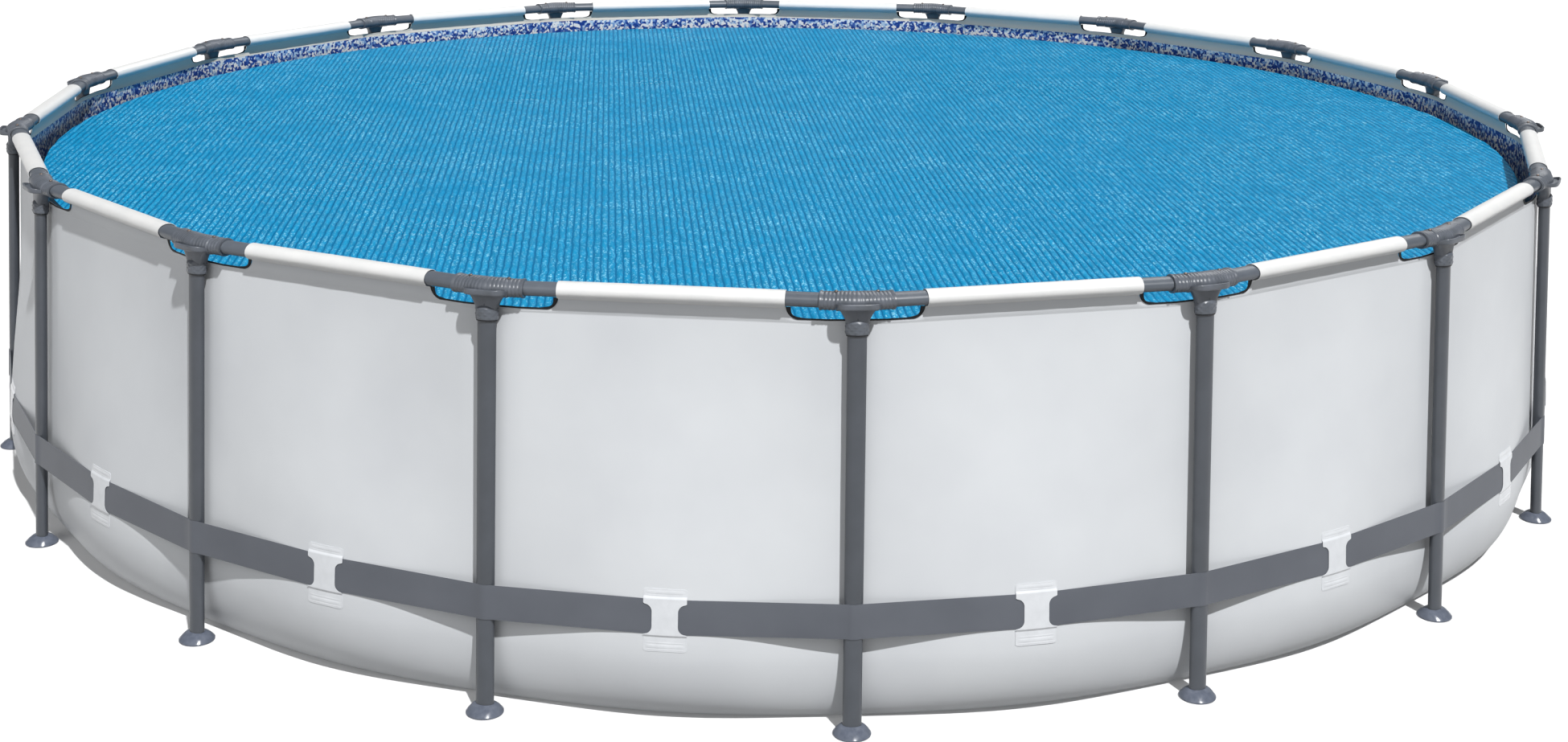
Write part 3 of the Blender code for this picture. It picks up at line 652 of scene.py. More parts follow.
def sheet_shape(outer, thickness, wrap):
    """Points, faces and inner face numbers of a sheet whose outer side is a grid of points."""
    outer = np.asarray(outer, float)
    rows, columns = outer.shape[:2]
    down = np.gradient(outer, axis=0)
    if wrap:
        along = (np.roll(outer, -1, axis=1) - np.roll(outer, 1, axis=1)) / 2
    else:
        along = np.gradient(outer, axis=1)
    normal = np.cross(down, along)
    normal /= np.linalg.norm(normal, axis=2)[:, :, None]
    inner = outer - normal * thickness
    points = np.concatenate([outer.reshape(-1, 3), inner.reshape(-1, 3)]).tolist()
    size = rows * columns
    faces = quads_between(rows, columns, 0, wrap)
    inside = range(len(faces), 2 * len(faces))
    faces += [face[::-1] for face in quads_between(rows, columns, size, wrap)]
    index = np.arange(2 * size).reshape(2, rows, columns)
    rims = [index[:, 0, :], index[:, -1, :]]
    loops = [wrap, wrap]
    if not wrap:
        rims += [index[:, :, 0], index[:, :, -1]]
        loops += [False, False]
    for rim, loop in zip(rims, loops):
        ends = np.hstack([rim, rim[:, :1]]) if loop else rim
        for place in range(ends.shape[1] - 1):
            faces.append([ends[0, place], ends[0, place + 1], ends[1, place + 1], ends[1, place]])
    faces = [[int(number) for number in face] for face in faces]
    return points, faces, inside


wall_grid = np.array([wall_column(panel, turn) for panel in range(BAYS) for turn in panel_turns])
wall_grid = wall_grid.transpose(1, 0, 2)

# Laminated PVC, calendered and slightly glossy: an even grey white with the scrim's threads showing faintly
# through, and very light clouding where it has been folded and handled.
FOLD_SIZE = 0.3846
SCRIM_PITCH = 0.006  # threads are 1 to 2 mm apart; drawn coarser so that they show
laminated_pvc = mottled_finish(
    "laminated_pvc",
    "#CBCED2",
    "#D6D9DC",
    FOLD_SIZE,
    7,
    {"Roughness": 0.5, "Specular IOR Level": 0.3},
    band=(0.25, 0.75),
    dents=(0.35, 0.004),
    grain=(SCRIM_PITCH, 2, 0.12, 0.0006),
)

# The inner skin is printed: irregular stones in blues and white make a border at the water line. Below it is a
# pale blue, and above it a cream white that the blue light off the cover turns neutral.
MOSAIC_TOP = 1.094
MOSAIC_BOTTOM = 0.960
STONE_SIZE = 0.0105
PRINT_WAVES = 0.3333
stone_blues = ((0.0, "#1C3F94"), (0.30, "#3C63B4"), (0.45, "#7FA6DA"), (0.58, "#B9D3EE"), (0.70, "#F1F5F9"))
printed_pvc = new_material("printed_pvc")
coords = add_node(printed_pvc, "TexCoord", output="Object")
stone_inputs = {"Vector": coords, "Scale": 1 / STONE_SIZE}
stones = add_node(printed_pvc, "TexVoronoi", stone_inputs, output="Color", distance="CHEBYCHEV")
stone_pick = add_node(printed_pvc, "SeparateColor", {"Color": stones}, output="Red")
stone_stops = [(place, linear(colour)) for place, colour in stone_blues]
stone_colour = add_node(printed_pvc, "ValToRGB", {"Fac": stone_pick}, stone_stops)
stone_colour.node.color_ramp.interpolation = "CONSTANT"
print_height = add_node(printed_pvc, "SeparateXYZ", {"Vector": coords}, output="Z")
below_top = add_node(printed_pvc, "Math", {0: print_height, 1: MOSAIC_TOP}, operation="LESS_THAN")
above_bottom = add_node(printed_pvc, "Math", {0: print_height, 1: MOSAIC_BOTTOM}, operation="GREATER_THAN")
plain_inputs = {0: below_top, 6: linear("#D6CFC4"), 7: linear("#9CC9E2")}
plain_colour = add_node(printed_pvc, "Mix", plain_inputs, output=2, data_type="RGBA")
in_border = add_node(printed_pvc, "Math", {0: below_top, 1: above_bottom}, operation="MULTIPLY")
print_inputs = {0: in_border, 6: plain_colour, 7: stone_colour}
print_colour = add_node(printed_pvc, "Mix", print_inputs, output=2, data_type="RGBA")
print_waves = add_node(printed_pvc, "TexNoise", {"Vector": coords, "Scale": 1 / PRINT_WAVES, "Detail": 5})
print_bump = add_node(printed_pvc, "Bump", {"Height": print_waves, "Strength": 0.4, "Distance": 0.004})
print_shader = {"Base Color": print_colour, "Roughness": 0.38, "IOR": 1.53, "Normal": print_bump}
add_node(printed_pvc, "Principled BSDF", print_shader)

wall_mesh = finish_mesh("liner_wall", *sheet_shape(wall_grid, SHEET, wrap=True))
wall_skins = [laminated_pvc, printed_pvc]
liner_wall = place_piece("liner_wall", wall_mesh, wall_skins, "liner_pvc", stands_for=("liner",))

# ------
# Liner floor. A disc of the same laminate, printed pale blue, lying flat on the ground and welded to the wall.
# ------

FLOOR_SPOKES = 120
FLOOR_RINGS = 14
FLOOR_LIFT = 0.0016
FLOOR_WELD = 0.002
FLOOR_RIPPLE = 0.0012
floor_radius = wall_at_leg(BELLY) - FLOOR_INSET + FLOOR_WELD
floor_grid = []
for ring in range(FLOOR_RINGS):
    radius = floor_radius * (1 - ring / FLOOR_RINGS * 0.995)
    row = []
    for spoke in range(FLOOR_SPOKES):
        angle = math.tau * spoke / FLOOR_SPOKES
        x, y = radius * math.cos(angle), radius * math.sin(angle)
        lift = FLOOR_RIPPLE * (1 + noise.noise(Vector((x * 3, y * 3, 0)))) if ring else 0
        row.append((x, y, FLOOR_LIFT + lift))
    floor_grid.append(row)
floor_points, floor_faces, _ = sheet_shape(floor_grid, -SHEET, wrap=True)
floor_faces.append(list(range((FLOOR_RINGS - 1) * FLOOR_SPOKES, FLOOR_RINGS * FLOOR_SPOKES)))
floor_mesh = finish_mesh("liner_floor", floor_points, floor_faces)
liner_floor = place_piece("liner_floor", floor_mesh, [printed_pvc], "liner_pvc")

# ------
# Rail sleeves. A strip of white PVC, folded round each rail and welded to the wall below it, so that the rail
# carries the liner. Its ends are cut square, clear of the connectors.
# ------

SLEEVE_GAP = 0.0006
SLEEVE_SHEET = 0.0014
SLEEVE_POINTS = 56
SLEEVE_STATIONS = 25
NECK_HALF = 0.0019


def sleeve_outline():
    """Outer outline round the rail as (out, up) from its centre, drawn in to a neck at the bottom."""
    width = RAIL_WIDTH / 2 + SLEEVE_GAP + SLEEVE_SHEET
    depth = RAIL_DEPTH / 2 + SLEEVE_GAP + SLEEVE_SHEET
    outline = []
    for step in range(SLEEVE_POINTS + 1):
        turn = -math.pi / 2 + math.tau * step / SLEEVE_POINTS
        outline.append([width * math.cos(turn), depth * math.sin(turn)])
    outline[0] = [NECK_HALF, -depth - 0.004]
    outline[1][1] -= 0.0012
    outline[-1] = [-NECK_HALF, -depth - 0.004]
    outline[-2][1] -= 0.0012
    return outline


sleeve_grid = []
for out, up in sleeve_outline():
    row = []
    for step in range(SLEEVE_STATIONS):
        share = 2 * step / (SLEEVE_STATIONS - 1) - 1
        along = SLEEVE_HALF * share
        pucker = 0.0005 * noise.noise(Vector((along * 30, out * 60, up * 60))) * min(1, (1 - abs(share)) * 8)
        grow = 1 + pucker / 0.02
        row.append((APOTHEM + out * grow, along, RAIL_HEIGHT + up * grow))
    sleeve_grid.append(row)

# White PVC film, calendered smooth: bright, with a soft sheen along the top of the rail.
ROLL_MARKS = 0.07143
white_pvc = mottled_finish(
    "calendered_white_pvc",
    "#D6D7D7",
    "#DDDDDC",
    ROLL_MARKS,
    5,
    {"Roughness": 0.4, "IOR": 1.53},
    dents=(0.3, 0.002),
)

sleeve_mesh = finish_mesh("rail_sleeve", *sheet_shape(sleeve_grid, SLEEVE_SHEET, wrap=False)[:2])
place_round("rail_sleeve", sleeve_mesh, [white_pvc], "liner_pvc", panel_angle)
for index in range(BAYS):
    number = f"{index + 1:02d}"

# ------
# Cut-out shadow band. A black band along the raw edge of the wall under each connector, narrow along the
# bottom and wide in the two rounded corners: painted shadow, a dark sheet for the shade in the cut-out.
# ------

SHADOW_BAND_NARROW = 0.0006
SHADOW_BAND_WIDE = 0.013
SHADOW_BAND_LAP = 0.004
SHADOW_BAND_SHEET = 0.0010
leg_side_turns = [HALF_BAY - turn for turn in half_turns if turn >= SLEEVE_END_ANGLE]
shadow_band_turns = leg_side_turns + [-turn for turn in reversed(leg_side_turns[:-1])]
shadow_band_outer, shadow_band_inner = [], []
for turn in shadow_band_turns:
    from_middle = HALF_BAY - abs(turn)
    edge = wall_top(from_middle)
    past = APOTHEM * math.tan(from_middle) - SLEEVE_HALF
    corner = max(0, 1 - past / (SLOT_CORNER * 1.6))
    width = SHADOW_BAND_NARROW + (SHADOW_BAND_WIDE - SHADOW_BAND_NARROW) * corner**1.5
    slope = max(0, 1 - past / SLOT_CORNER)
    radius = wall_radius(edge, from_middle) + HEM_RISE + SHADOW_BAND_SHEET
    shift = width * slope / radius
    turn_in = turn - math.copysign(shift, turn)
    shadow_band_outer.append((radius * math.cos(turn), radius * math.sin(turn), edge - SHADOW_BAND_LAP * (1 - slope)))
    shadow_band_inner.append(
        (radius * math.cos(turn_in), radius * math.sin(turn_in), min(edge + width * (1 - slope), WALL_TOP))
    )

# Painted shadow: a black, smooth sheet that stands for the shade along the cut-out's edge and in its corners.
SHADOW_BAND_MARKS = 0.01111
shadow_band_shader = {"Roughness": 0.6, "Specular IOR Level": 0.25}
shadow_sheet_black = mottled_finish("painted_shadow_black_sheet", "#0B0C0E", "#141518", SHADOW_BAND_MARKS, 3, shadow_band_shader)

shadow_band_mesh = finish_mesh("cut_out_shadow_band", *sheet_shape([shadow_band_inner, shadow_band_outer], SHADOW_BAND_SHEET, wrap=False)[:2])
place_round("cut_out_shadow_band", shadow_band_mesh, [shadow_sheet_black], "liner_pvc", leg_angle)

# ------
# Strap loops. An H-shaped patch of clear-white PVC on the middle of each panel, welded to the wall above and
# below the strap along pressed bars. The strap passes behind its waist.
# ------

strap_low, strap_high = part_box("restraint_strap")
STRAP_BOTTOM = strap_low.z
STRAP_TOP = strap_high.z
STRAP_SHEET = 0.0020
STRAP_GAP = 0.0005
LOOP_HALF = 0.058
WAIST_HALF = 0.035
LOOP_TOP = STRAP_TOP + 0.028
LOOP_BOTTOM = STRAP_BOTTOM - 0.048
TAB_OVER_STRAP = 0.012
LOOP_FILLET = 0.021
LOOP_CORNER = 0.007
LOOP_SHEET = 0.0010
LOOP_LIFT = 0.0004
BAR_HEIGHT = 0.0006
BAR_END = 0.050
FINE_BAR = (0.0015, 0.6)  # half its height, and its rise as a share of a broad bar's
WELD_BARS = (
    (STRAP_TOP + 0.0185, 0.0045, 1),
    (STRAP_TOP + 0.0105, *FINE_BAR),
    (STRAP_BOTTOM - 0.034, 0.005, 1),
    (STRAP_BOTTOM - 0.024, *FINE_BAR),
    (STRAP_BOTTOM - 0.043, *FINE_BAR),
)


def loop_half_width(height):
    """Half the width of the patch at a height: full at the tabs, drawn in with round fillets to the waist."""
    if height > STRAP_TOP - TAB_OVER_STRAP:
        rest = LOOP_TOP - height
    elif height < STRAP_BOTTOM:
        rest = height - LOOP_BOTTOM
    else:
        top_step = STRAP_TOP - TAB_OVER_STRAP - height
        near = min(top_step, height - STRAP_BOTTOM)
        if near >= LOOP_FILLET:
            return WAIST_HALF
        curve = 1 - math.sqrt(max(0, 1 - (1 - near / LOOP_FILLET) ** 2))
        return WAIST_HALF + (LOOP_HALF - WAIST_HALF) * curve
    if rest >= LOOP_CORNER:
        return LOOP_HALF
    return LOOP_HALF - LOOP_CORNER * (1 - math.sqrt(max(0, 1 - (1 - rest / LOOP_CORNER) ** 2)))


def bar_profile(height, middle, half):
    """Height of a pressed weld bar across its width, 0 outside it."""
    away = abs(height - middle) / half
    return math.sqrt(max(0, 1 - away**2)) if away < 1 else 0


def loop_lift(along, height):
    """Distance of the patch's outer side from the wall."""
    over = STRAP_SHEET + 3 * STRAP_GAP
    rise_top = min(1, max(0, (STRAP_TOP + 0.008 - height) / 0.006))
    rise_bottom = min(1, max(0, (height - STRAP_BOTTOM + 0.008) / 0.006))
    lift = LOOP_LIFT + LOOP_SHEET + over * min(rise_top, rise_bottom)
    inside = min(1, max(0, (BAR_END - abs(along)) / 0.004))
    bars = sum(share * bar_profile(height, middle, half) for middle, half, share in WELD_BARS)
    return lift + BAR_HEIGHT * bars * inside


loop_heights = list(np.arange(LOOP_TOP, STRAP_TOP + 0.001, -0.0012))
loop_heights += list(np.linspace(STRAP_TOP, STRAP_BOTTOM, 48))
loop_heights += list(np.arange(STRAP_BOTTOM - 0.0012, LOOP_BOTTOM, -0.0012)) + [LOOP_BOTTOM]
loop_grid = []
for height in loop_heights:
    half = loop_half_width(height)
    row = []
    for share in np.linspace(-1, 1, 29):
        along = half * share
        turn = math.atan2(along, APOTHEM)
        distance = wall_radius(height, turn) * math.cos(turn) + loop_lift(along, height)
        row.append((distance, along, height))
    loop_grid.append(row)

# Unpigmented soft PVC over the grey wall: a milky white, glossier than the wall, its pressed bars catching the
# light.
MILK_CLOUDS = 0.03333
milk_shader = {"Roughness": 0.26, "IOR": 1.53}
clear_pvc = mottled_finish(
    "milky_soft_pvc", "#D0D3D7", "#D9DCE0", MILK_CLOUDS, 4, milk_shader, dents=(0.25, 0.0012)
)

loop_mesh = finish_mesh("strap_loop", *sheet_shape(loop_grid, LOOP_SHEET, wrap=False)[:2])
place_round("strap_loop", loop_mesh, [clear_pvc], "liner_pvc", panel_angle)

# ------
# Restraint strap. One band of polyester webbing right round the pool: outside the legs, which it ties
# together against the water, and behind the loop on the middle of each panel.
# ------

STRAP_ROWS = 15
STRAP_LEG_STEPS = 7
STRAP_FREE_STEPS = 14
WALL_CONTACT = math.radians(1.9)


def strap_corner_radius(height, turn):
    """Radius of the strap's inner side where it lies on a leg. The turn is from the leg."""
    half = LEG_WIDTH / 2
    along = leg_radius(height) * math.tan(turn)
    bulge = LEG_DEPTH / 2 * math.sqrt(max(0, 1 - (along / half) ** 2))
    return (leg_radius(height) + bulge) / math.cos(turn)


def strap_row(height):
    """The strap's outer points all the way round at one height."""
    leg_half_turn = math.atan2(LEG_WIDTH * 0.36, leg_radius(height))
    row = []
    for index in range(BAYS):
        leg_points = []
        for turn in np.linspace(-leg_half_turn, leg_half_turn, STRAP_LEG_STEPS):
            radius = strap_corner_radius(height, turn) + STRAP_GAP + STRAP_SHEET
            angle = leg_angle(index) + turn
            leg_points.append((radius * math.cos(angle), radius * math.sin(angle)))
        wall_points_here = []
        for turn in np.linspace(-WALL_CONTACT, WALL_CONTACT, 5):
            radius = wall_radius(height, turn) + STRAP_GAP + STRAP_SHEET
            angle = panel_angle(index) + turn
            wall_points_here.append((radius * math.cos(angle), radius * math.sin(angle)))
        next_turn = -leg_half_turn
        next_radius = strap_corner_radius(height, next_turn) + STRAP_GAP + STRAP_SHEET
        next_angle = leg_angle(index + 1) + next_turn
        next_leg = (next_radius * math.cos(next_angle), next_radius * math.sin(next_angle))
        row += leg_points
        for start, end in ((leg_points[-1], wall_points_here[0]), (wall_points_here[-1], next_leg)):
            for step in range(1, STRAP_FREE_STEPS):
                share = step / STRAP_FREE_STEPS
                row.append(tuple(a + (b - a) * share for a, b in zip(start, end)))
            if end is wall_points_here[0]:
                row += wall_points_here
    return [(x, y, height) for x, y in row]


strap_grid = []
for share in np.linspace(0, 1, STRAP_ROWS):
    height = STRAP_TOP + (STRAP_BOTTOM - STRAP_TOP) * share
    ring = np.array(strap_row(height))
    radius = np.linalg.norm(ring[:, :2], axis=1)
    sag = np.array([0.0004 * noise.noise(Vector((x * 6, y * 6, height * 25))) for x, y, z in ring])
    selvedge = 0.0003 if share in (0, 1) else 0
    ring[:, :2] *= (1 + (sag - selvedge) / radius)[:, None]
    strap_grid.append(ring)

# Polyester webbing, woven flat in a plain grey: fine cords run along it under a fuzz of weft, and give it a dry
# sheen.
WEBBING_PITCH = 0.003  # cords are about 1.5 mm apart; drawn coarser so that they show
FUZZ_SIZE = 0.003846
FADE_SIZE = 0.250
web_shader = {"Roughness": 0.68, "Sheen Weight": 0.15}
webbing = mottled_finish("woven_polyester_webbing", "#52565E", "#5C6068", FADE_SIZE, 5, web_shader)
coords = add_node(webbing, "TexCoord", output="Object")
cord_height = add_node(webbing, "SeparateXYZ", {"Vector": coords}, output="Z")
cord_phase = add_node(webbing, "Math", {0: cord_height, 1: math.tau / WEBBING_PITCH}, operation="MULTIPLY")
cord_wave = add_node(webbing, "Math", {0: cord_phase}, operation="SINE")
fuzz = add_node(webbing, "TexNoise", {"Vector": coords, "Scale": 1 / FUZZ_SIZE, "Detail": 3})
weave = add_node(webbing, "Math", {0: fuzz, 1: 0.8, 2: cord_wave}, operation="MULTIPLY_ADD")
weave_bump = add_node(webbing, "Bump", {"Height": weave, "Strength": 0.07, "Distance": 0.0003})
add_node(webbing, "Principled BSDF", {"Normal": weave_bump})

strap_mesh = finish_mesh("restraint_band", *sheet_shape(strap_grid, STRAP_SHEET, wrap=True)[:2])
strap = place_piece("restraint_band", strap_mesh, [webbing], "strap_webbing", stands_for=("restraint_strap",))

# ------
# Wall fittings. Two hose ports and a drain valve, moulded in grey ABS and welded through the wall at the back:
# a round flange with a stiffening rim, and a spigot with a barb for the hose, or a short boss for the drain.
# ------

PORT_BORE = 0.0160
PORT_FLANGE = 0.045
FLANGE_HALF = 0.004
SPIGOT_WALL = 0.0035
SPIGOT_REACH = 0.045
BARB_RISE = 0.0012
PLUG_FACE = -FLANGE_HALF - RAIL_GAP
PLUG_SHANK = 0.034
DRAIN_BORE = 0.0090
DRAIN_WALL = 0.0045
DRAIN_FLANGE = 0.030
DRAIN_REACH = 0.022
DRAIN_CAP_TOP = 0.0253


def fitting_place(node, joint_name, sign, far_end):
    """Stands a piece turned about Z on the wall, from its CAD node's own axis and its farthest point."""
    axis = next(joint["axis"] for joint in frame["joints"] if joint["name"] == joint_name)
    out = Vector(axis).normalized() * sign
    corners = [vertex.co for vertex in frame["nodes"][node].data.vertices]
    middle = sum(corners, Vector()) / len(corners)
    reach = max((corner - middle).dot(out) for corner in corners)
    turn = out.to_track_quat("Z", "Y").to_matrix().to_4x4()
    return Matrix.Translation(middle + out * (reach - far_end)) @ turn


def turned_mesh(name, profile, place, count=40, closed=False, smooth_to=40):
    """A mesh turned about Z and then placed. A closed profile makes a hollow piece, an open one gets ends."""
    rings = turned_rings(profile, count)
    if closed:
        rings.append(rings[0])
        points = np.concatenate(rings[:-1]).tolist()
        size = len(points)
        faces = [[number % size for number in face] for face in quads_between(len(rings), count, 0, True)]
    else:
        points, faces = lofted(rings)
    mesh = finish_mesh(name, points, faces, smooth_to=smooth_to)
    mesh.transform(place)
    return mesh


def port_profile(flange, bore, wall, reach, barb):
    """A hollow flanged spigot as a closed outline."""
    outer = bore + wall
    outline = [(bore, reach), (outer - 0.0008, reach), (outer, reach - 0.0008)]
    if barb:
        outline += [(outer, reach - 0.006), (outer + barb, reach - 0.010), (outer, reach - 0.0105)]
        outline += [(outer, reach - 0.017), (outer + barb, reach - 0.021), (outer, reach - 0.0215)]
    outline += [(outer, FLANGE_HALF + 0.002), (outer + 0.002, FLANGE_HALF)]
    outline += [(flange - 0.006, FLANGE_HALF), (flange - 0.005, FLANGE_HALF + 0.0012)]
    outline += [(flange - 0.001, FLANGE_HALF + 0.0012), (flange, FLANGE_HALF)]
    outline += [(flange, -FLANGE_HALF + 0.001), (flange - 0.001, -FLANGE_HALF)]
    outline += [(bore + 0.001, -FLANGE_HALF), (bore, -FLANGE_HALF + 0.001)]
    return outline


# ABS from a fine-textured mould: light grey, satin, with a barely visible flow mottle.
FLOW_SIZE = 0.01429
MOULD_GRAIN = 0.001111
abs_shader = {"Roughness": 0.36, "IOR": 1.54}
abs_grain = (MOULD_GRAIN, 2, 0.25, 0.0002)
grey_abs = mottled_finish("moulded_abs", "#8E9297", "#9CA0A5", FLOW_SIZE, 4, abs_shader, grain=abs_grain)

shank_end = PLUG_FACE + PLUG_SHANK
outlet_place = fitting_place("outlet_plug", "outlet_plug_pull", -1, shank_end)
inlet_place = fitting_place("inlet_plug", "inlet_plug_pull", -1, shank_end)
drain_place = fitting_place("drain_cap", "drain_cap_pull", 1, DRAIN_CAP_TOP)
hose_port = port_profile(PORT_FLANGE, PORT_BORE, SPIGOT_WALL, SPIGOT_REACH, BARB_RISE)
drain_port = port_profile(DRAIN_FLANGE, DRAIN_BORE, DRAIN_WALL, DRAIN_REACH, 0)
ports = {
    "outlet_port": (hose_port, outlet_place),
    "inlet_port": (hose_port, inlet_place),
    "drain_valve": (drain_port, drain_place),
}
for name, (outline, place) in ports.items():
    place_piece(name, turned_mesh(name, outline, place, closed=True), [grey_abs], "fitting_plastic")

# ------
# Plugs. Moulded rubber, pushed into the ports from inside the pool while no pump is connected: a stepped shank
# with sealing rings, a flat head and a thumb grip.
# ------

PLUG_HEAD = PORT_BORE + 0.008
PLUG_HEAD_THICK = 0.0065
PLUG_GRIP = 0.009
PLUG_GRIP_LENGTH = 0.019
PLUG_RING = 0.0003
plug_shank_radius = PORT_BORE - 0.0009
plug_back = PLUG_FACE - PLUG_HEAD_THICK
plug_profile = [(0.002, shank_end), (plug_shank_radius - 0.002, shank_end)]
plug_profile.append((plug_shank_radius, shank_end - 0.002))
for ring in range(3):
    height = shank_end - 0.007 - ring * 0.008
    plug_profile += [
        (plug_shank_radius, height + 0.0012),
        (plug_shank_radius + PLUG_RING, height),
        (plug_shank_radius, height - 0.0012),
    ]
plug_profile += [
    (plug_shank_radius, PLUG_FACE),
    (PLUG_HEAD - 0.001, PLUG_FACE),
    (PLUG_HEAD, PLUG_FACE - 0.001),
    (PLUG_HEAD, plug_back + 0.0015),
    (PLUG_HEAD - 0.0015, plug_back),
    (PLUG_GRIP + 0.001, plug_back),
    (PLUG_GRIP - 0.001, plug_back - 0.002),
    (PLUG_GRIP - 0.0015, plug_back - PLUG_GRIP_LENGTH * 0.6),
    (PLUG_GRIP, plug_back - PLUG_GRIP_LENGTH + 0.004),
    (PLUG_GRIP, plug_back - PLUG_GRIP_LENGTH + 0.0015),
    (PLUG_GRIP - 0.0015, plug_back - PLUG_GRIP_LENGTH),
    (0.002, plug_back - PLUG_GRIP_LENGTH),
]
for name, place in (("outlet_plug", outlet_place), ("inlet_plug", inlet_place)):
    plug_mesh = turned_mesh(f"{name}_rubber", plug_profile, place)
    place_piece(f"{name}_rubber", plug_mesh, [black_rubber], "plug_rubber", body=name, stands_for=(name,))

# ------
# Drain cap. A small ABS cup over the drain valve's boss, with grip flutes round its skirt.
# ------

CAP_INSIDE = DRAIN_BORE + DRAIN_WALL + RAIL_GAP
CAP_SKIRT = 0.0036
CAP_LOW = FLANGE_HALF + 2 * RAIL_GAP
CAP_END = 0.0025
CAP_FLUTES = 16
CAP_POINTS = 96
cap_profile = [
    (0.001, DRAIN_CAP_TOP),
    (CAP_INSIDE + CAP_SKIRT - 0.0018, DRAIN_CAP_TOP),
    (CAP_INSIDE + CAP_SKIRT - 0.0004, DRAIN_CAP_TOP - 0.0012),
    (CAP_INSIDE + CAP_SKIRT, CAP_LOW + 0.001),
    (CAP_INSIDE + CAP_SKIRT - 0.0005, CAP_LOW),
    (CAP_INSIDE, CAP_LOW),
    (CAP_INSIDE, DRAIN_CAP_TOP - CAP_END),
    (0.001, DRAIN_CAP_TOP - CAP_END),
]
drain_cap_rings = turned_rings(cap_profile, CAP_POINTS)
flute_turns = np.arange(CAP_POINTS) * math.tau / CAP_POINTS
flutes = 1 - 0.025 * np.abs(np.sin(flute_turns * CAP_FLUTES / 2)) ** 2
for ring in drain_cap_rings[2:5]:
    ring[:, :2] *= flutes[:, None]
drain_cap_mesh = finish_mesh("drain_cap_moulding", *lofted(drain_cap_rings))
drain_cap_mesh.transform(drain_place)
cap_place = {"body": "drain_cap", "stands_for": ("drain_cap",)}
place_piece("drain_cap_moulding", drain_cap_mesh, [grey_abs], "fitting_plastic", **cap_place)

# ------
# Solar cover. Blue polyethylene bubble film, cut to a disc that floats inside the rails, bubbles up: two films
# welded together round rows of small domes. It lies in shallow waves on the water.
# ------

cover_low, cover_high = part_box("solar_cover")
COVER_RADIUS = cover_high.x
COVER_UNDER = cover_low.z
COVER_TOP = cover_high.z
ROW_PITCH = 0.0215
ROW_HEIGHT = 0.0032
ROW_TURN = math.radians(0.5)
BUBBLE_PITCH = 0.0125
COLUMNS_A_ROW = 4
COVER_LENGTHS = 96
WAVE_HEIGHT = 0.0022

column_step = ROW_PITCH / COLUMNS_A_ROW
half_columns = int(COVER_RADIUS / column_step)
across_places = [number * column_step for number in range(-half_columns, half_columns + 1)]
cover_rim = COVER_RADIUS - 0.001
turn_cos, turn_sin = math.cos(ROW_TURN), math.sin(ROW_TURN)
cover_grid = []
for step in range(COVER_LENGTHS + 1):
    even = 2 * step / COVER_LENGTHS - 1
    share = math.sin(math.pi / 2 * even) * 0.5 + even * 0.5
    row = []
    for number, across in enumerate(across_places):
        along = share * math.sqrt(max(cover_rim**2 - across**2, 1e-6))
        x = across * turn_cos - along * turn_sin
        y = across * turn_sin + along * turn_cos
        crest = abs(math.cos(math.pi * across / ROW_PITCH)) ** 0.5
        long_wave = noise.noise(Vector((x * 2.1, y * 0.9, 3.0)))
        wave = long_wave + 0.5 * noise.noise(Vector((x * 4.3, y * 5.1, 8.0)))
        edge = min(1, (1 - abs(share)) * 40)
        row.append((x, y, COVER_TOP + ROW_HEIGHT * crest * edge + WAVE_HEIGHT * wave * edge))
    cover_grid.append(row)
cover_rows, cover_columns = len(cover_grid), len(across_places)
cover_points = [point for row in cover_grid for point in row]
cover_faces = quads_between(cover_rows, cover_columns, 0, False)
top_index = np.arange(cover_rows * cover_columns).reshape(cover_rows, cover_columns)
rim_loop = [*top_index[0], *top_index[1:, -1], *top_index[-1, -2::-1], *top_index[-2:0:-1, 0]]
under_start = len(cover_points)
for number in rim_loop:
    x, y, z = cover_points[number]
    cover_points.append((x, y, COVER_UNDER))
for place in range(len(rim_loop)):
    after = (place + 1) % len(rim_loop)
    cover_faces.append([int(rim_loop[place]), int(rim_loop[after]), under_start + after, under_start + place])
cover_faces.append(list(range(under_start, len(cover_points))))

# Blown polyethylene film, satin and strongly coloured. Each row of bubbles is painted light on its crests and
# deep blue in the welded valleys, a painted highlight and painted shade; small pale specks are painted glints,
# flashes of light off the lenses of trapped air; and whole patches lie darker where they are wet.
ROW_WANDER = 0.0022
WANDER_SIZE = 0.05556
WET_PATCH = 0.5882
GLINT_SIZE = (0.0036, 0.0085, 0.010)
GLINT_CLOUD = 0.2222
RIPPLE_SIZE = (0.025, 0.07143, 1)
CRINKLE_SIZE = 0.004348
bubble_film = new_material("polyethylene_bubble_film")
coords = add_node(bubble_film, "TexCoord", output="Object")
row_coords = add_node(bubble_film, "Mapping", {"Vector": coords, "Rotation": (0, 0, -ROW_TURN)})
film_x = add_node(bubble_film, "SeparateXYZ", {"Vector": row_coords}, output="X")
film_y = film_x.node.outputs["Y"]
wander = add_node(bubble_film, "TexNoise", {"Vector": coords, "Scale": 1 / WANDER_SIZE, "Detail": 3})
wander_inputs = {"Value": wander, **spread(0.3, 0.7, -ROW_WANDER, ROW_WANDER)}
wander_shift = add_node(bubble_film, "MapRange", wander_inputs)
across_place = add_node(bubble_film, "Math", {0: film_x, 1: wander_shift}, operation="ADD")
bubble_waves = []
for place, pitch in ((across_place, ROW_PITCH), (film_y, BUBBLE_PITCH)):
    phase = add_node(bubble_film, "Math", {0: place, 1: math.pi / pitch}, operation="MULTIPLY")
    wave = add_node(bubble_film, "Math", {0: phase}, operation="COSINE")
    bubble_waves.append(add_node(bubble_film, "Math", {0: wave}, operation="ABSOLUTE"))
crest_shape, dome_shape = bubble_waves
bubble = add_node(bubble_film, "Math", {0: crest_shape, 1: dome_shape}, operation="MULTIPLY")
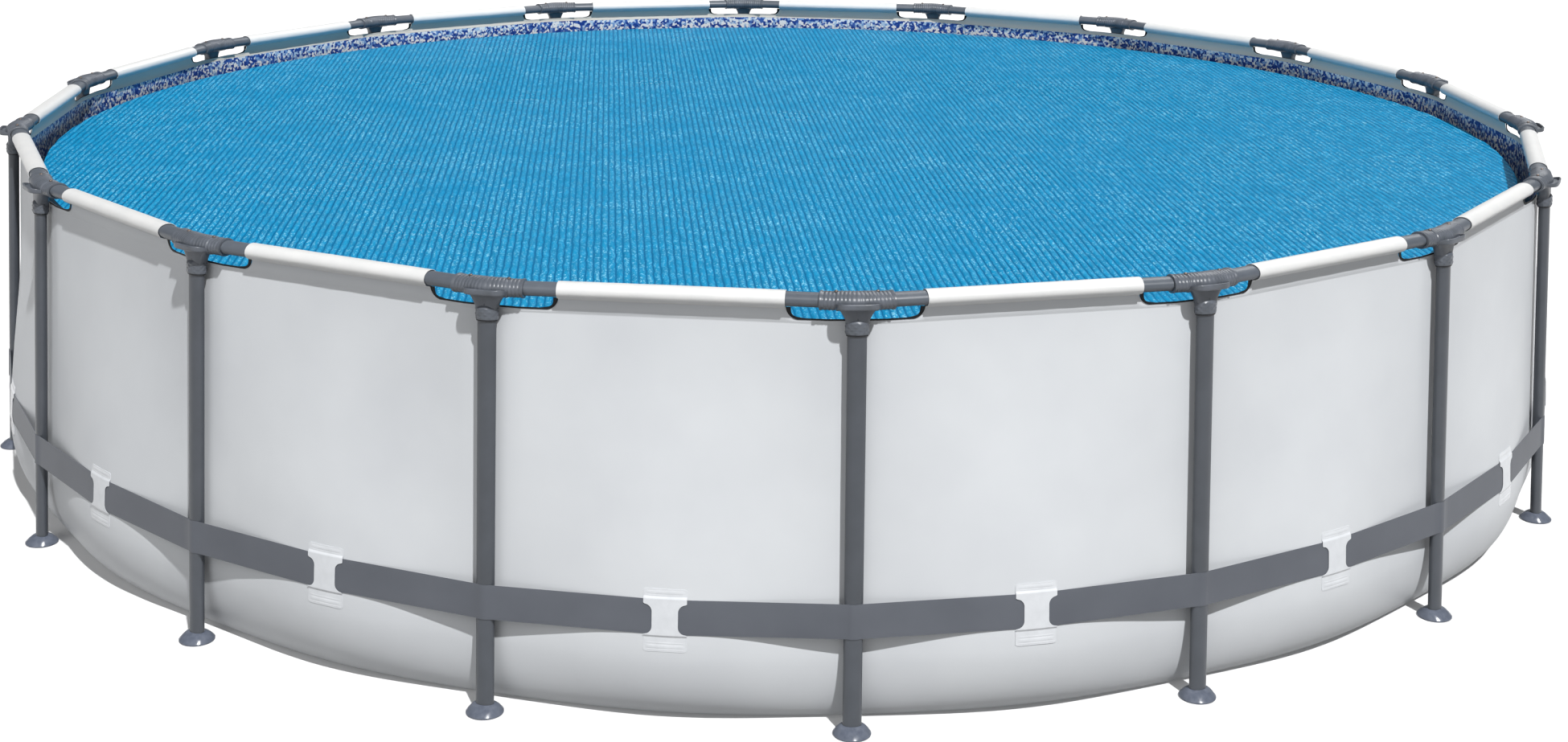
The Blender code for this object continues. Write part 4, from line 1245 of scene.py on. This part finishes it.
# Painted highlight and shade: deep blue in the row valleys, light blue on the crests.
row_shade_blues = ((0.0, "#004F7D"), (0.28, "#036F9D"), (0.55, "#0B87B8"), (1.0, "#1495C5"))
row_stops = [(place, linear(colour)) for place, colour in row_shade_blues]
row_shaded_colour = add_node(bubble_film, "ValToRGB", {"Fac": crest_shape}, row_stops)

# Wet patches, then ripples, then the painted glints lie over the rows' blue and its painted highlight and
# shade.
patch_inputs = {"Vector": coords, "Scale": 1 / WET_PATCH, "Detail": 5, "Roughness": 0.62}
patches = add_node(bubble_film, "TexNoise", patch_inputs)
patch_share = add_node(bubble_film, "MapRange", {"Value": patches, **spread(0.38, 0.66, 0.0, 0.4)})
ripple_scale = [1 / size for size in RIPPLE_SIZE]
ripple_places = add_node(bubble_film, "Mapping", {"Vector": row_coords, "Scale": ripple_scale})
ripple_inputs = {"Vector": ripple_places, "Scale": 1, "Detail": 5, "Roughness": 0.6}
ripples = add_node(bubble_film, "TexNoise", ripple_inputs)
ripple_share = add_node(bubble_film, "MapRange", {"Value": ripples, **spread(0.38, 0.6, 0.5, 0.0)})
# Painted glints: pale specks, densest on the crests, that stand for flashes of light off the bubbles.
glint_scale = [1 / size for size in GLINT_SIZE]
glint_places = add_node(bubble_film, "Mapping", {"Vector": row_coords, "Scale": glint_scale})
glint_cells = add_node(bubble_film, "TexVoronoi", {"Vector": glint_places, "Scale": 1}, output="Color")
glint_pick = add_node(bubble_film, "SeparateColor", {"Color": glint_cells}, output="Red")
glint_chance = add_node(bubble_film, "MapRange", {"Value": glint_pick, **spread(0.7, 1.0, 0.0, 0.9)})
cloud_inputs = {"Vector": coords, "Scale": 1 / GLINT_CLOUD, "Detail": 6, "Roughness": 0.65}
glint_cloud = add_node(bubble_film, "TexNoise", cloud_inputs)
glint_dense = add_node(bubble_film, "MapRange", {"Value": glint_cloud, **spread(0.40, 0.62, 0.28, 0.95)})
glint_crest = add_node(bubble_film, "MapRange", {"Value": crest_shape, **spread(0.3, 0.8, 0.0, 1.0)})
glint_share = add_node(bubble_film, "Math", {0: glint_chance, 1: glint_dense}, operation="MULTIPLY")
glint_share = add_node(bubble_film, "Math", {0: glint_share, 1: glint_crest}, operation="MULTIPLY")
film_colour = row_shaded_colour
for share, colour in ((patch_share, "#0A7FB2"), (ripple_share, "#036C98"), (glint_share, "#9ADCF0")):
    layer = {0: share, 6: film_colour, 7: linear(colour)}
    film_colour = add_node(bubble_film, "Mix", layer, output=2, data_type="RGBA")

bubble_bump = add_node(bubble_film, "Bump", {"Height": bubble, "Strength": 0.08, "Distance": 0.002})
crinkle_inputs = {"Vector": coords, "Scale": 1 / CRINKLE_SIZE, "Detail": 3, "Roughness": 0.6}
crinkle = add_node(bubble_film, "TexNoise", crinkle_inputs)
crinkle_inputs = {"Height": crinkle, "Strength": 0.5, "Distance": 0.0016, "Normal": bubble_bump}
crinkle_bump = add_node(bubble_film, "Bump", crinkle_inputs)
film_gloss = add_node(bubble_film, "MapRange", {"Value": patches, **spread(0.3, 0.7, 0.24, 0.4)})
film_shader = {"Base Color": film_colour, "Roughness": film_gloss, "Normal": crinkle_bump}
add_node(bubble_film, "Principled BSDF", {**film_shader, "Specular IOR Level": 0.02})

cover_mesh = finish_mesh("bubble_cover", cover_points, cover_faces, smooth_to=60)
cover = place_piece(
    "bubble_cover", cover_mesh, [bubble_film], "cover_film", body="cover", stands_for=("solar_cover",)
)

# ------
# Studio. A plain pale floor, a crisp key sun from the right and above, two broad suns to fill, an even sky,
# and the camera.
# ------

FLOOR_SIZE = 400
FLOOR_DROP = 0.0005
floor_sheet = bpy.data.meshes.new("studio_floor")
half_floor = FLOOR_SIZE / 2
floor_signs = ((-1, -1), (1, -1), (1, 1), (-1, 1))
floor_corners = [(x * half_floor, y * half_floor, -FLOOR_DROP) for x, y in floor_signs]
floor_sheet.from_pydata(floor_corners, [], [(0, 1, 2, 3)])
pale_paint = new_material("pale_studio_paint")
add_node(pale_paint, "Principled BSDF", {"Base Color": linear("#F4F4F4"), "Roughness": 0.9})
floor_sheet.materials.append(pale_paint)
floor = bpy.data.objects.new("studio_floor", floor_sheet)
bpy.context.scene.collection.objects.link(floor)
floor.visible_diffuse = False  # the floor shows white, but its bounce would flatten the shading


def add_sun(name, side, elevation, softness, strength):
    """A distant light: side is measured from the front, positive to the right."""
    data = bpy.data.lights.new(name, "SUN")
    data.energy = strength
    data.angle = math.radians(softness)
    light = bpy.data.objects.new(name, data)
    bpy.context.scene.collection.objects.link(light)
    side, elevation = math.radians(side), math.radians(elevation)
    level = math.cos(elevation)
    source = Vector((math.sin(side) * level, -math.cos(side) * level, math.sin(elevation)))
    light.rotation_mode = "QUATERNION"
    light.rotation_quaternion = source.to_track_quat("Z", "Y")


add_sun("key", side=21, elevation=57, softness=1.5, strength=3.7)
add_sun("fill", side=-40, elevation=35, softness=50, strength=0.62)
add_sun("back", side=155, elevation=40, softness=30, strength=0.8)

# The sky is a dim, even dome over a paler ground, with a white band along the horizon between them.
sky_greys = ((0.435, 0.26), (0.475, 1), (0.525, 1), (0.565, 0.10))
sky = bpy.data.worlds.new("studio_sky")
sky.use_nodes = True
sky_coords = add_node(sky, "TexCoord", output="Generated")
sky_up = add_node(sky, "SeparateXYZ", {"Vector": sky_coords}, output="Z")
sky_height = add_node(sky, "Math", {0: sky_up, 1: 0.5, 2: 0.5}, operation="MULTIPLY_ADD")
sky_stops = [(place, (grey, grey, grey, 1)) for place, grey in sky_greys]
sky_colour = add_node(sky, "ValToRGB", {"Fac": sky_height}, sky_stops)
sky.node_tree.links.new(sky_colour, sky.node_tree.nodes["Background"].inputs["Color"])
bpy.context.scene.world = sky
bpy.context.scene.view_settings.view_transform = "Standard"

CAMERA_PLACE = Vector((-0.5624, -7.8008, 2.603))
CAMERA_AIM = Vector((0.0212, -0.0016, 0.0938))
CAMERA_ROLL = 0.0126
camera_data = bpy.data.cameras.new("camera")
camera_data.lens = 47.747
camera_data.sensor_width = 36
camera_data.clip_end = 500
camera = bpy.data.objects.new("camera", camera_data)
bpy.context.scene.collection.objects.link(camera)
back = (CAMERA_PLACE - CAMERA_AIM).normalized()
camera.matrix_world = (
    Matrix.Translation(CAMERA_PLACE)
    @ back.to_track_quat("Z", "Y").to_matrix().to_4x4()
    @ Matrix.Rotation(CAMERA_ROLL, 4, "Z")
)
bpy.context.scene.camera = camera
